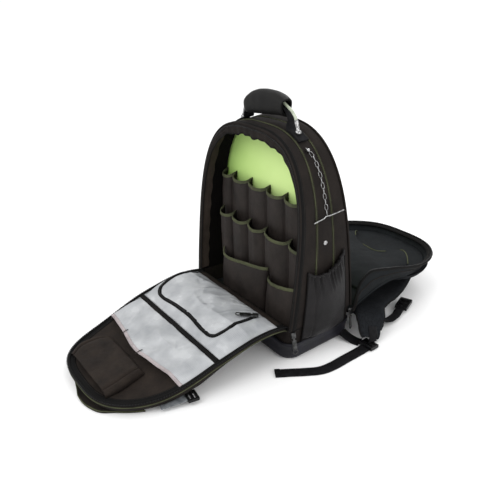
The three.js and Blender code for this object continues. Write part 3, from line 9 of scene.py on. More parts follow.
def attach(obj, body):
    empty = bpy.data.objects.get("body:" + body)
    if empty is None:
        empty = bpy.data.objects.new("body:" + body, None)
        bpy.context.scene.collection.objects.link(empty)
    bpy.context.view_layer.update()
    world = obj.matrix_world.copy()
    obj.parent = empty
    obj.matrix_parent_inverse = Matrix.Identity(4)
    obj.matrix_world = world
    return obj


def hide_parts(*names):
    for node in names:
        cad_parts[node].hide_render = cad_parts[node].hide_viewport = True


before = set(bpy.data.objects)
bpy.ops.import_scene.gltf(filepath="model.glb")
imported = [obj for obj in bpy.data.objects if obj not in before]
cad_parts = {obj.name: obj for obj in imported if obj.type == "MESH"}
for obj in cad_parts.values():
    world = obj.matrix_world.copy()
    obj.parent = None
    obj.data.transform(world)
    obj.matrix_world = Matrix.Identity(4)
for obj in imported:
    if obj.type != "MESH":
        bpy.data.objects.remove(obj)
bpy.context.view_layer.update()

# Lengths are in millimetres, and MM turns them into Blender's metres.
MM = 0.001

# The frame's sizes, repeated here because the cloth follows the same surfaces.
GAP = 0.4
BODY_HALF_WIDTH = 176
BODY_BASE_HALF_WIDTH = 168
BODY_DEPTH = 188
FRONT_HEIGHT = 455
BACK_HEIGHT = 464
ARCH_START = 168
ARCH_POWER = 3
BACK_WIDTH_SHARE = 0.962
FRONT_LEAN = 0.078
BACK_LEAN = 0.146
BODY_WALL = 4
GUSSET_PUFF = 2.5
FRONT_SEAM_SHARE = 0.336
REAR_SEAM_SHARE = 0.684
SILL_HEIGHT = 76
BASE_HEIGHT = 42
BASE_WALL = 3
BASE_EDGE = 12
CORNER_RADIUS = 34
CORNER_RADIUS_TOP = 9
DIVIDER_FRONT_Y = -13
POCKET_WALL = 1.8
POCKET_LAYER = 22
TOP_ROW_HEIGHT = 322
MIDDLE_ROW_HEIGHT = 240
TOP_ROW_OVERLAP = 46
MIDDLE_ROW_OVERLAP = 62
MOUTH_PEAK = 4
MOUTH_SAG = 6
LOW_LEFT_HEIGHT = 158
LOW_RIGHT_HEIGHT = 160
SIDE_POCKET_HEIGHT = 212
SIDE_POCKET_BULGE = 24
DOOR_REACH = 378
DOOR_HALF_WIDTH = 163
DOOR_DEPTH = 22
DOOR_HINGE_STRIP = 7.6
VINYL_LIFT = 14
BAND_WIDTH = 8
SLIP_BINDING_WIDTH = 7
COVER_REACH = 362
COVER_HALF_WIDTH = 172
COVER_RISE = 100
COVER_HINGE_STRIP = 6
COVER_HINGE_SHARE = 0.6
COVER_BOARD = 8
COVER_RIM_HEIGHT = 50
COVER_FLARE = 15
BACK_PAD_THICKNESS = 28
WEBBING_THICKNESS = 1.8
SHOULDER_WIDTH = 66
SHOULDER_THICKNESS = 15
SHOULDER_WEBBING_WIDTH = 25
CHEST_WEBBING_WIDTH = 20

# The photograph's camera, in its 501 by 500 pixel frame.
PHOTO_WIDTH_PX = 501
FOCAL_PX = 576.92
CAMERA_AZIMUTH_DEG = 53.626
CAMERA_ELEVATION_DEG = 25.16
CAMERA_AT = (915.24, -736.69, 719.79)


def lerp(a, b, t):
    return a + (b - a) * t


def clamp01(t):
    return min(1.0, max(0.0, t))


def smooth(t):
    t = clamp01(t)
    return t * t * (3 - 2 * t)


def vec(x, y, z):
    return Vector((x, y, z))


UP = vec(0, 0, 1)
FORWARD = vec(0, -1, 0)


def table(columns, *rows):
    """Rows of numbers under named columns."""
    names = columns.split()
    return [dict(zip(names, row)) for row in rows]


def column(rows, key, by, at):
    """Reads a column of a table by its first column, on a smooth curve through the rows."""
    if at <= rows[0][by]:
        return rows[0][key]
    if at >= rows[-1][by]:
        return rows[-1][key]
    i = next(k for k in range(1, len(rows)) if at <= rows[k][by])

    def slope(k):
        a, b = rows[max(k - 1, 0)], rows[min(k + 1, len(rows) - 1)]
        return (b[key] - a[key]) / (b[by] - a[by])

    a, b = rows[i - 1], rows[i]
    span = b[by] - a[by]
    t = (at - a[by]) / span
    start = (2 * t**3 - 3 * t**2 + 1) * a[key] + (t**3 - 2 * t**2 + t) * span * slope(i - 1)
    return start + (3 * t**2 - 2 * t**3) * b[key] + (t**3 - t**2) * span * slope(i)


def crumple(p, size, seed=0.0):
    """Smooth unevenness of about -1 to 1 with dents of that size."""
    return noise.noise(p / size + vec(seed, seed * 1.7, -seed))


def crease(p, size, seed=0.0):
    """Narrow ridges, 1 along their tops and 0 between them."""
    return max(0.0, 1 - 5 * abs(crumple(p, size, seed))) ** 1.5


def spread(count):
    """Even shares from 0 to 1."""
    return [k / (count - 1) for k in range(count)]


def curve(stops, count):
    """A smooth line of that many points through a few stops."""
    line = []
    for share in spread(count):
        at = share * (len(stops) - 1)
        i = min(int(at), len(stops) - 2)
        t = at - i
        a, b, c, d = [stops[max(0, min(len(stops) - 1, i + k))] for k in (-1, 0, 1, 2)]
        cubic = (2 * a - 5 * b + 4 * c - d) * t**2 + (3 * b - a - 3 * c + d) * t**3
        line.append((2 * b + (c - a) * t + cubic) / 2)
    return line


def even(line, count):
    """The same line with its points spaced evenly."""
    reached = [0.0]
    for a, b in zip(line, line[1:]):
        reached.append(reached[-1] + (b - a).length)
    out, i = [], 0
    for share in spread(count):
        want = share * reached[-1]
        while i < len(line) - 2 and reached[i + 1] < want:
            i += 1
        step = max(reached[i + 1] - reached[i], 1e-9)
        out.append(line[i].lerp(line[i + 1], clamp01((want - reached[i]) / step)))
    return out


def run_at(line, i):
    """The direction of a line at one of its points."""
    return (line[min(i + 1, len(line) - 1)] - line[max(i - 1, 0)]).normalized()


BOX_SIDES = [(0, 1, 5, 4), (1, 2, 6, 5), (2, 3, 7, 6), (3, 0, 4, 7), (4, 5, 6, 7), (3, 2, 1, 0)]


class Shape:
    """Collects the points, faces and cloth coordinates of one piece."""

    def __init__(self):
        self.points, self.faces, self.uvs = [], [], []

    def add(self, points, faces, uvs):
        first = len(self.points)
        self.points += points
        self.uvs += uvs
        self.faces += [tuple(first + k for k in f) for f in faces]

    def grid(self, rows, wrap=False, caps=False):
        """A sheet through rows of points; wrap joins each row into a ring, and caps close its ends."""
        count = len(rows[0])
        points = [p for row in rows for p in row]
        faces = []
        for i in range(len(rows) - 1):
            for j in range(count if wrap else count - 1):
                k = (j + 1) % count
                faces.append((i * count + j, i * count + k, (i + 1) * count + k, (i + 1) * count + j))
        if caps:
            faces.append(tuple(reversed(range(count))))
            faces.append(tuple(range(len(points) - count, len(points))))
        uvs, down = [], 0.0
        for i, row in enumerate(rows):
            middle = count // 2
            down += (row[middle] - rows[i - 1][middle]).length if i else 0
            across = 0.0
            for j, p in enumerate(row):
                across += (p - row[j - 1]).length if j else 0
                uvs.append((across * MM, down * MM))
        self.add(points, faces, uvs)
        return self

    def tube(self, line, radius, sides=8, closed=False):
        """A round bar along a line; radius may be a number or a function of the share along it."""
        count = len(line)
        normal = None
        rings = []
        for i, p in enumerate(line):
            along = (line[(i + 1) % count] - line[i - 1]).normalized() if closed else run_at(line, i)
            normal = along.orthogonal() if normal is None else normal
            normal = (normal - along * normal.dot(along)).normalized()
            aside = along.cross(normal)
            r = radius(i / max(count - 1, 1)) if callable(radius) else radius
            angles = [2 * math.pi * k / sides for k in range(sides)]
            rings.append([p + normal * r * math.cos(a) + aside * r * math.sin(a) for a in angles])
        if closed:
            rings.append(rings[0])
        return self.grid(rings, wrap=True, caps=not closed)

    def band(self, line, faces, width, thickness=WEBBING_THICKNESS, wide=None):
        """A flat band along a line, whose faces point along the given normals."""
        rings = []
        half = [(-0.5, 0), (-0.485, 0.5), (-0.25, 0.5), (0, 0.5), (0.25, 0.5), (0.485, 0.5)]
        profile = half + [(-w, -t) for w, t in half]
        for i, p in enumerate(line):
            along = run_at(line, i)
            across = faces[i].cross(along).normalized()
            face = along.cross(across).normalized()
            here = width * (wide[i] if wide else 1)
            rings.append([p + across * w * here + face * t * thickness for w, t in profile])
        return self.grid(rings, wrap=True, caps=True)

    def stitches(self, line, length=2.4, pitch=3.6, radius=0.28):
        """A row of thread stitches along a line."""
        total = sum((b - a).length for a, b in zip(line, line[1:]))
        marks = even(line, max(2, int(total / pitch)) * 2)
        for a, b in zip(marks[::2], marks[1::2]):
            along = (b - a).normalized() * length / 2
            middle = (a + b) / 2
            self.tube([middle - along, middle, middle + along], radius, sides=4)
        return self

    def stitch_rows(self, line, offsets, **sizes):
        """A row of stitches at each offset from a line."""
        for offset in offsets:
            self.stitches([p + vec(*offset) for p in line], **sizes)
        return self

    def teeth(self, line, faces, width, pitch=2.6, height=0.9):
        """Two rows of small zip teeth along a line."""
        total = sum((b - a).length for a, b in zip(line, line[1:]))
        count = max(2, int(total / pitch))
        marks = even(line, count)
        for k, p in enumerate(marks):
            along = run_at(marks, k)
            face = faces[int(k * (len(faces) - 1) / max(count - 1, 1))]
            across = face.cross(along).normalized() * (1 if k % 2 else -1)
            a, b = p - across * width * 0.1, p + across * width * 0.5
            half = along * pitch * 0.42
            points = [a - half, b - half, b + half, a + half]
            points += [q + face.normalized() * height for q in points]
            self.add(points, BOX_SIDES, [(q.x * MM, q.y * MM) for q in points])
        return self


def piece(name, shape, finish, nodes=(), wall=0.0, rounds=0):
    """Makes the Blender object of a shape. Wall gives an open sheet its thickness: above 0 against its
    normals, below 0 along them. Rounds subdivides."""
    mesh = bpy.data.meshes.new(name)
    mesh.from_pydata([tuple(p * MM) for p in shape.points], [], shape.faces)
    layer = mesh.uv_layers.new(name="cloth")
    for loop in mesh.loops:
        layer.data[loop.index].uv = shape.uvs[loop.vertex_index]
    mesh.polygons.foreach_set("use_smooth", [True] * len(mesh.polygons))
    made = bpy.data.objects.new(name, mesh)
    bpy.context.scene.collection.objects.link(made)
    mesh.materials.append(finish)
    if wall:
        thick = made.modifiers.new("wall", "SOLIDIFY")
        thick.thickness = abs(wall) * MM
        thick.offset = -1 if wall > 0 else 1
        thick.use_rim = True
    if rounds:
        made.modifiers.new("rounds", "SUBSURF").levels = rounds
        made.modifiers["rounds"].render_levels = rounds
    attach(made, "root")
    if nodes:
        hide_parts(*nodes)
    return made


def srgb(code):
    """A colour from its hexadecimal code, as the shader's linear numbers."""
    parts = [int(code[k : k + 2], 16) / 255 for k in (0, 2, 4)]
    return [p / 12.92 if p <= 0.04045 else ((p + 0.055) / 1.055) ** 2.4 for p in parts] + [1.0]


class Finish:
    """A material and its nodes."""

    def __init__(self, name, roughness, metallic=0.0, specular=0.5, coords="UV"):
        self.material = bpy.data.materials.new(name)
        self.material.use_nodes = True
        self.tree = self.material.node_tree
        self.shader = self.tree.nodes["Principled BSDF"]
        self.shader.inputs["Roughness"].default_value = roughness
        self.shader.inputs["Metallic"].default_value = metallic
        self.shader.inputs["Specular IOR Level"].default_value = specular
        self.place = self.node("ShaderNodeTexCoord").outputs
        self.coords = self.place[coords]
        self.height = None

    def node(self, kind, **values):
        made = self.tree.nodes.new(kind)
        for key, value in values.items():
            if key in made.inputs:
                made.inputs[key].default_value = value
            else:
                setattr(made, key, value)
        return made

    def link(self, a, b):
        self.tree.links.new(a, b)

    def math(self, kind, a, b):
        made = self.node("ShaderNodeMath", operation=kind)
        for socket, value in zip(made.inputs, (a, b)):
            if isinstance(value, (int, float)):
                socket.default_value = value
            else:
                self.link(value, socket)
        return made.outputs[0]

    def noise(self, pitch_mm, detail):
        made = self.node("ShaderNodeTexNoise", Scale=1 / (pitch_mm * MM), Detail=detail)
        self.link(self.place["Object"], made.inputs["Vector"])
        return made.outputs["Fac"]

    def ribs(self, pitch_mm, direction):
        """Parallel ribs at that pitch. A wave of scale 1 repeats every tenth of a turn."""
        made = self.node("ShaderNodeTexWave", bands_direction=direction)
        made.inputs["Scale"].default_value = math.pi / (10 * pitch_mm * MM)
        self.link(self.coords, made.inputs["Vector"])
        return made.outputs["Fac"]

    def weave(self, warp_mm, weft_mm):
        """Two sets of threads that cross."""
        return self.math("MULTIPLY", self.ribs(warp_mm, "X"), self.ribs(weft_mm, "Y"))

    def colour(self, value, *stops):
        """Colours the surface by a value, through stops of a share and a colour."""
        made = self.node("ShaderNodeValToRGB")
        band = made.color_ramp.elements
        while len(band) < len(stops):
            band.new(0.5)
        for element, (at, colour) in zip(band, stops):
            element.position = at
            element.color = srgb(colour)
        self.link(value, made.inputs["Fac"])
        self.link(made.outputs["Color"], self.shader.inputs["Base Color"])

    def rough(self, value, swing, base):
        """Roughness that rises with a value from its base."""
        raised = self.math("ADD", self.math("MULTIPLY", value, swing), base)
        self.link(raised, self.shader.inputs["Roughness"])

    def relief(self, value, depth_mm, strength):
        """Adds a height map to the bump."""
        bump = self.node("ShaderNodeBump", Strength=strength, Distance=depth_mm * MM)
        self.link(value, bump.inputs["Height"])
        if self.height:
            self.link(self.height, bump.inputs["Normal"])
        self.height = bump.outputs["Normal"]
        self.link(self.height, self.shader.inputs["Normal"])


def cloth(name, dark, light, weave_mm=1.3, roughness=0.8, specular=0.12):
    """Woven cloth: two sets of threads, a mottled colour and soft rumples."""
    made = Finish(name, roughness, specular=specular)
    mottle = made.noise(38, 5)
    speck = made.noise(2.2, 2)
    blend = made.math("ADD", made.math("MULTIPLY", mottle, 0.7), made.math("MULTIPLY", speck, 0.3))
    made.colour(blend, (0.3, dark), (0.72, light))
    made.relief(made.noise(26, 4), 1.4, 0.45)
    made.relief(made.weave(weave_mm, weave_mm), 0.25, 0.5)
    made.rough(mottle, 0.2, roughness - 0.1)
    return made.material


def webbing(name, dark, light):
    """Flat woven tape with ribs across it."""
    made = Finish(name, 0.75, specular=0.12)
    made.colour(made.noise(9, 4), (0.3, dark), (0.75, light))
    made.relief(made.weave(3.1, 2.2), 0.35, 0.6)
    return made.material


def vinyl():
    """Milky clear sheet with a fine woven grid and soft wrinkles."""
    made = Finish("clear_vinyl", 0.28, specular=0.35)
    made.shader.inputs["Coat Weight"].default_value = 0.25
    made.shader.inputs["Coat Roughness"].default_value = 0.15
    cloudy = made.noise(52, 3)
    grid = made.math("MAXIMUM", made.ribs(2.8, "X"), made.ribs(2.8, "Y"))
    lines = made.math("MULTIPLY", made.math("POWER", grid, 6.0), 0.14)
    made.colour(made.math("ADD", cloudy, lines), (0.3, "898C8F"), (0.55, "A3A5A8"), (0.78, "BCBEC0"))
    made.relief(made.noise(30, 3), 1.6, 0.35)
    made.relief(lines, 0.3, 0.4)
    made.rough(cloudy, 0.25, 0.12)
    return made.material


def moulded(name, dark, light, roughness=0.5, grain_mm=1.2, specular=0.2):
    """Moulded plastic with a fine grain and slight scuffs."""
    made = Finish(name, roughness, specular=specular, coords="Object")
    scuff = made.noise(22, 6)
    made.colour(scuff, (0.35, dark), (0.75, light))
    made.relief(made.noise(grain_mm, 2), 0.12, 0.5)
    made.rough(scuff, 0.25, roughness - 0.12)
    return made.material


def steel(name, dark, light, roughness=0.25):
    """Plated steel with fine scratches and a slight tarnish."""
    made = Finish(name, roughness, metallic=1.0, coords="Object")
    tarnish = made.noise(6, 5)
    made.colour(tarnish, (0.3, dark), (0.7, light))
    made.relief(made.noise(0.8, 2), 0.05, 0.4)
    made.rough(tarnish, 0.2, roughness - 0.1)
    return made.material


def spacer_mesh():
    """Knitted mesh over foam: small round cells."""
    made = Finish("padding_mesh", 0.9, specular=0.1)
    cells = made.node("ShaderNodeTexVoronoi", Scale=1 / (3.2 * MM))
    made.link(made.coords, cells.inputs["Vector"])
    distance = cells.outputs["Distance"]
    made.colour(distance, (0.1, "0C0D0F"), (0.6, "1B1D20"))
    made.relief(distance, 0.8, 0.7)
    made.relief(made.noise(40, 3), 2.0, 0.3)
    return made.material


# Where the lime board's painted light is brightest: its colour is painted darker with distance from here, as
# painted shade towards its edges.
LIME_PAINTED_LIGHT_CENTRE = (40, DIVIDER_FRONT_Y, 345)


def lime_board():
    """Lime lining on a stiff board, with painted light in its middle and painted shade towards its edges."""
    made = Finish("green_board", 0.7, specular=0.15)
    away = made.node("ShaderNodeVectorMath", operation="DISTANCE")
    away.inputs[1].default_value = [at * MM for at in LIME_PAINTED_LIGHT_CENTRE]
    made.link(made.place["Object"], away.inputs[0])
    # Painted shade: the board's colour darkens with distance from its painted light in the middle, and is
    # mottled a little.
    painted_shade_falloff = made.math("ADD", made.math("MULTIPLY", away.outputs["Value"], 5.0), -0.1)
    painted_shade_and_mottle = made.math("ADD", painted_shade_falloff, made.math("MULTIPLY", made.noise(30, 4), 0.15))
    made.colour(painted_shade_and_mottle, (0.1, "C4DE90"), (0.55, "B4D27F"), (1.0, "97BD62"))
    made.relief(made.weave(1.1, 1.1), 0.15, 0.4)
    return made.material


BODY_CLOTH = cloth("body_cloth", "13100F", "26211E")
POCKET_CLOTH = cloth("pocket_cloth", "171311", "2E2825", roughness=0.62, specular=0.2)
DOOR_CLOTH = cloth("door_cloth", "1A1614", "302924")
LINING_CLOTH = cloth("lining_cloth", "070606", "12100F", roughness=0.9, specular=0.05)
HEM_CLOTH = cloth("hem_cloth", "2B2521", "453C36")
SHINY_CLOTH = cloth("side_pocket_cloth", "0D0C0D", "1D1B1C", weave_mm=0.9, roughness=0.5, specular=0.18)
COVER_CLOTH = cloth("cover_cloth", "0F1113", "1F2224", roughness=0.85)
OLIVE = cloth("olive_binding", "34372A", "585B43", weave_mm=0.8)
PALE = cloth("pale_binding", "8F8687", "BDB4B5", weave_mm=0.8)
TAPE = cloth("zip_tape", "080808", "131212", weave_mm=0.9)
GRIP_CLOTH = cloth("grip_cloth", "0C0C0C", "191817", roughness=0.6, specular=0.2)
BLACK_WEBBING = webbing("black_webbing", "08080A", "18181A")
VINYL = vinyl()
MOULDED = moulded("moulded_plastic", "16161B", "22222A")
BUCKLE = moulded("black_plastic", "09090A", "151517", roughness=0.35, grain_mm=0.8)
STEEL = steel("bright_steel", "6F6F6F", "C2C2C2")
DARK_STEEL = steel("dark_steel", "2E2E2E", "5A5A5A", 0.4)
CABLE_SLEEVE = moulded("clear_cable", "8E9781", "C3C9B8", roughness=0.25, grain_mm=2.5, specular=0.4)
MESH = spacer_mesh()
LIME = lime_board()
THREAD = moulded("thread", "4F523C", "74775A", roughness=0.7)
DARK_THREAD = moulded("dark_thread", "26221F", "3A3531", roughness=0.7)
GREY_WEBBING = webbing("grey_webbing", "5A5E62", "85898C")


def half_width_at(z, share=0.0, inset=0.0):
    """Half-width of the body's outline at a height, on its front (share 0) to its back (share 1)."""
    wide = lerp(1, BACK_WIDTH_SHARE, share)
    top = lerp(FRONT_HEIGHT, BACK_HEIGHT, share) - inset
    low = BODY_BASE_HALF_WIDTH * wide - inset
    full = BODY_HALF_WIDTH * wide - inset
    if z <= ARCH_START:
        return lerp(low, full, math.sin(clamp01(z / ARCH_START) * math.pi / 2))
    rise = clamp01((z - ARCH_START) / (top - ARCH_START))
    return full * (1 - rise**ARCH_POWER) ** (1 / ARCH_POWER)


def front_y(z):
    return -BODY_DEPTH / 2 + FRONT_LEAN * z


def back_y(z):
    return BODY_DEPTH / 2 - BACK_LEAN * z


def depth_share(y, z):
    return (y - front_y(z)) / (back_y(z) - front_y(z))


def inner_half_width(z, y, inset):
    return half_width_at(z, depth_share(y, z), inset)


# The share of the side band's length that lies under the arch.
LOWER_SHARE = 0.19


def arch_at(share, along):
    """x and z of the right half of the body's outline; along is 0 at the sill and 1 at the crown."""
    top = lerp(FRONT_HEIGHT, BACK_HEIGHT, share)
    if along < LOWER_SHARE:
        z = lerp(SILL_HEIGHT + GAP, ARCH_START, along / LOWER_SHARE)
        return half_width_at(z, share), z
    p = (along - LOWER_SHARE) / (1 - LOWER_SHARE)
    corner = 0.5 ** (1 / ARCH_POWER)
    near = 2 * min(p, 1 - p) * corner
    far = (1 - near**ARCH_POWER) ** (1 / ARCH_POWER)
    out, rise = (far, near) if p < 0.5 else (near, far)
    return BODY_HALF_WIDTH * lerp(1, BACK_WIDTH_SHARE, share) * out, ARCH_START + rise * (top - ARCH_START)


def arch_normal(x, z, share):
    full = BODY_HALF_WIDTH * lerp(1, BACK_WIDTH_SHARE, share)
    rise = lerp(FRONT_HEIGHT, BACK_HEIGHT, share) - ARCH_START
    power = ARCH_POWER - 1
    out_x = math.copysign((abs(x) / full) ** power / full, x)
    return vec(out_x, 0, clamp01((z - ARCH_START) / rise) ** power / rise).normalized()


def body_point(u, share, out=0.0):
    """A point of the body's side band: u from -1 at the left sill over the crown to 1 at the right."""
    x, z = arch_at(share, 1 - abs(u))
    x = math.copysign(x, u)
    return vec(x, lerp(front_y(z), back_y(z), share), z) + arch_normal(x, z, share) * out


def edge_point(u, behind, out=0.0):
    """A point of the side band at a distance behind the front edge."""
    z = arch_at(0, 1 - abs(u))[1]
    return body_point(u, behind / (back_y(z) - front_y(z)), out)


def turns(count):
    """Places along the side band from its left sill to its right one."""
    return [2 * s - 1 for s in spread(count)]


def seam_depth(s):
    """How far a strip of cloth stands out between its seams, from 0 to 1."""
    return (1 - abs(2 * s - 1) ** 3) ** 0.7


def gusset(name, start, end, seed):
    """One strip of the side band, puffed between its seams and a little rumpled."""
    rows = []
    for u in turns(240):
        row = []
        for s in spread(17):
            share = lerp(start, end, s)
            flat = body_point(u, share)
            loose = 1.3 * crumple(flat, 62, seed) + 0.6 * crumple(flat, 23, seed)
            row.append(body_point(u, share, (GUSSET_PUFF + loose) * seam_depth(s) - 0.6))
        rows.append(row)
    piece(f"{name}_cloth", Shape().grid(rows), BODY_CLOTH, [name], wall=-3.4)


def piped_seam(name, share):
    """A thin sewn cord of cloth along a seam of the side band, with stitches on both sides."""
    cord = [body_point(u, share, 1.2) for u in turns(200)]
    piece(name, Shape().tube(cord, 0.95), OLIVE)
    marks = Shape()
    for near in (share - 0.024, share + 0.024):
        marks.stitches([body_point(u, near, GUSSET_PUFF * 0.62) for u in turns(160)], 1.6, 3.4, 0.22)
    piece(f"{name}_stitches", marks, THREAD)


def body_lining():
    """The dark lining inside the side band, the lighter hem at its left, and the folded zip tape."""
    inside = -BODY_WALL - 0.5
    rows = [[body_point(u, s, inside) for s in (0.02, 0.2, 0.4, 0.6, 0.8, 0.98)] for u in turns(120)]
    piece("inner_lining", Shape().grid(rows), LINING_CLOTH)
    rows = []
    for s in spread(110):
        u = lerp(-0.99, -0.3, s)
        deep = 21 + 1.2 * math.sin(s * 60)
        rows.append([edge_point(u, t * deep, inside - 0.7 - 1.2 * math.sin(math.pi * t)) for t in spread(7)])
    piece("inner_hem", Shape().grid(rows), HEM_CLOTH)
    rows = []
    for u in turns(220):
        loose = 0.9 * crumple(vec(u * 160, 0, 0), 14, 4)
        rows.append([edge_point(u, t * 12, 1.2 + 1.6 * math.sin(math.pi * t) + loose * t) for t in spread(6)])
    piece("front_edge_tape", Shape().grid(rows), TAPE)
    marks = Shape().stitches([row[3] + arch_normal(row[3].x, row[3].z, 0) * 0.2 for row in rows])
    piece("front_edge_stitches", marks, DARK_THREAD)


def flange(name, share, side, node, left, top, right):
    """The folded zip flange round an open edge, wavy where its cloth is loose at the crown."""
    rows = []
    for u in turns(260):
        crown = smooth((1 - abs(u) - 0.45) / 0.4)
        wave = crown * (1.3 * math.sin(u * 75) + 1.6 * math.sin(u * 34 + 1))
        width = lerp(right if u > 0 else left, top, crown) + wave
        row = []
        for t in spread(9):
            roll = 2.2 * math.sin(math.pi * t) + crown * 1.2 * math.sin(u * 95) * t
            row.append(body_point(u, share, 1.2 - t * width) + vec(0, side * (GAP + 1.2 + roll), 0))
        rows.append(row)
    shape = Shape().grid(rows)
    shape.tube([row[0] for row in rows], 2.0)
    piece(name, shape, BODY_CLOTH, [node])
    piece(f"{name}_lip", Shape().tube([row[-1] for row in rows], 1.3), TAPE)
    teeth = Shape().teeth([row[2] for row in rows], [vec(0, side, 0)] * len(rows), 3.4)
    piece(f"{name}_teeth", teeth, BUCKLE)
    seam = Shape().stitches([row[5] + vec(0, side * 0.4, 0) for row in rows])
    piece(f"{name}_stitches", seam, DARK_THREAD)


def footprint(z, grow, level):
    """A rounded rectangle round the body at a height, grown outwards by a margin."""
    radius = lerp(CORNER_RADIUS, CORNER_RADIUS_TOP, clamp01(z / SILL_HEIGHT)) + grow
    front, back = front_y(z) - grow, back_y(z) + grow
    loop = []
    for sx, y, sy, turn in ((1, front, 1, -90), (1, back, -1, 0), (-1, back, -1, 90), (-1, front, 1, 180)):
        half = half_width_at(z, depth_share(y, z)) + grow
        for k in range(11):
            angle = math.radians(turn + 9 * k)
            x = sx * (half - radius) + radius * math.cos(angle)
            loop.append(vec(x, y + sy * radius + radius * math.sin(angle), level))
    return loop


def rings_of(places):
    """Rings round the body at (height, margin) places, all with evenly spaced points."""
    rings = [footprint(max(z, BASE_EDGE), grow, z) for z, grow in places]
    return [even(ring + [ring[0]], 221)[:-1] for ring in rings]


def moulded_base():
    """The tray: rounded foot edge, straight wall and a thick rolled lip."""
    skin = BASE_WALL + GAP
    foot = [(0.0, 1), (0.6, 0.72), (2.4, 0.42), (5.5, 0.18), (9, 0.05), (BASE_EDGE, 0)]
    wall = [(z, skin - BASE_EDGE * share) for z, share in foot]
    wall += [(24, skin), (BASE_HEIGHT - 7, skin), (BASE_HEIGHT - 6, skin + 1.1)]
    wall += [(BASE_HEIGHT - 1.2, skin + 1.1), (BASE_HEIGHT, skin), (BASE_HEIGHT, skin - 2.4)]
    wall.append((BASE_HEIGHT - 5, skin - 2.6))
    shape = Shape().grid(rings_of(wall), wrap=True, caps=True)
    piece("base_tray", shape, MOULDED, ["moulded_base"])


def lower_body():
    """The cloth ring between the tray and the sill, with its rolled sill edge and the inside floor."""
    rings = rings_of([(z, -0.2) for z in (10, 16, 24, 32, 40, 44, 48, 54, 60, 66, 70, 73, SILL_HEIGHT)])
    for ring in rings:
        for k, p in enumerate(ring):
            belly = math.sin(math.pi * clamp01((p.z - BASE_HEIGHT) / (SILL_HEIGHT - BASE_HEIGHT)))
            out = vec(p.x, p.y, 0).normalized()
            ring[k] = p + out * belly * (0.5 + 0.9 * crumple(p, 34, 3))
    shape = Shape().grid(rings, wrap=True)
    piece("lower_body_cloth", shape, BODY_CLOTH, ["lower_body"], wall=3.6)
    piece("sill_roll", Shape().tube(rings[-1], 2.2, closed=True), TAPE)
    centre = [vec(p.x * 0.02, p.y * 0.02, 8.4) for p in rings[0]]
    piece("inside_floor", Shape().grid([rings[0], centre], wrap=True), LINING_CLOTH)


def divider():
    """The lime board, a little proud in the middle."""
    inset = BODY_WALL + GAP + 1
    rows = []
    for t in spread(60):
        z = lerp(20, FRONT_HEIGHT - inset - 0.6, 1 - (1 - t) ** 1.6)
        half = inner_half_width(z, DIVIDER_FRONT_Y, inset)
        row = []
        for s in spread(31):
            at = vec((2 * s - 1) * half, DIVIDER_FRONT_Y - math.sin(math.pi * s) * math.sin(math.pi * t), z)
            row.append(at + FORWARD * 0.8 * crumple(at, 70, 5))
        rows.append(row)
    piece("lime_divider", Shape().grid(rows), LIME, ["divider_panel"], wall=4.6)


POCKET_REACH = POCKET_LAYER * 0.94
TOP_SEAMS = [-0.96, -0.73, -0.36, 0.04, 0.41, 0.77, 1]
MIDDLE_SEAMS = [-0.8, -0.525, -0.177, 0.167, 0.645, 1]
LOW_SEAMS = [-0.64, 0.35, 0.985]
LOW_LAYER = 1.95
HIDDEN_FOOT = table("down out", (1, 0.1), (0.84, 0.6), (0.4, 0.85))
LOW_LEFT_MOUTH = table("across height", (0, 0.97), (0.05, 0.905), (0.22, 0.9), (0.53, 0.962), (1, 1.04))
LOW_RIGHT_MOUTH = table("across height", (0, 0.912), (0.22, 0.894), (0.56, 0.931), (1, 1.012))
LOW_FALL = table(
    "up out tuck",
    (0, 0.3, 0.86),
    (0.045, 0.5, 0.92),
    (0.13, 0.85, 1),
    (0.35, 1.02, 1),
    (0.62, 1, 1),
    (1, 0.62, 1),
)
# The width of the folded tape along a pocket mouth.
BINDING_WIDTH = 5.8


def pocket_row(name, seams, layer, fall, edge, seed):
    """A sewn row of pockets with bound mouths and folds. The fall gives height, reach and tuck from the
    foot up, and edge the height of the mouth."""
    seam_y = DIVIDER_FRONT_Y - GAP - POCKET_WALL - layer * POCKET_LAYER
    places = []
    for left, right in zip(seams, seams[1:]):
        places += [(lerp(left, right, s), s) for s in spread(19)[: None if right == seams[-1] else -1]]
    rows = []
    for t in spread(30):
        at = t * (len(fall) - 1)
        i = min(int(at), len(fall) - 2)
        (low_z, low_out, low_tuck), (high_z, high_out, high_tuck) = fall[i : i + 2]
        row = []
        for share, s in places:
            bulge = math.sin(math.pi * clamp01(s)) ** 0.32
            top = edge(share, bulge) if i == len(fall) - 2 else high_z
            z = lerp(low_z, top, at - i)
            out = lerp(low_out, high_out, at - i) * POCKET_REACH
            half = inner_half_width(z, seam_y - POCKET_LAYER, BODY_WALL + 3 * GAP)
            spot = vec(share * half * lerp(low_tuck, high_tuck, at - i), seam_y - out * bulge, z)
            dents = 1.3 * crumple(spot, 26, seed) + 0.8 * crumple(spot, 11, seed)
            upright = 1.5 * crumple(vec(spot.x, 0, spot.z * 0.3), 13, seed)
            row.append(spot + FORWARD * (dents + upright) * math.sin(math.pi * s))
        rows.append(row)
    piece(f"{name}_cloth", Shape().grid(rows), POCKET_CLOTH, [name], wall=1.4)
    mouth = rows[-1]
    line = [a + (b - a).normalized() * 2.6 + FORWARD * 0.9 for a, b in zip(mouth, rows[-3])]
    binding = Shape().band(line, [FORWARD] * len(line), BINDING_WIDTH, 1.0)
    binding.tube([p + vec(0, -0.2, 0.5) for p in mouth], 1.1, 6)
    piece(f"{name}_binding", binding, OLIVE)
    offsets = [(0, -0.8, -1.5), (0, -0.8, 1.7)]
    marks = Shape().stitch_rows(line, offsets, length=2.0, pitch=3.0, radius=0.25)
    piece(f"{name}_stitches", marks, THREAD)


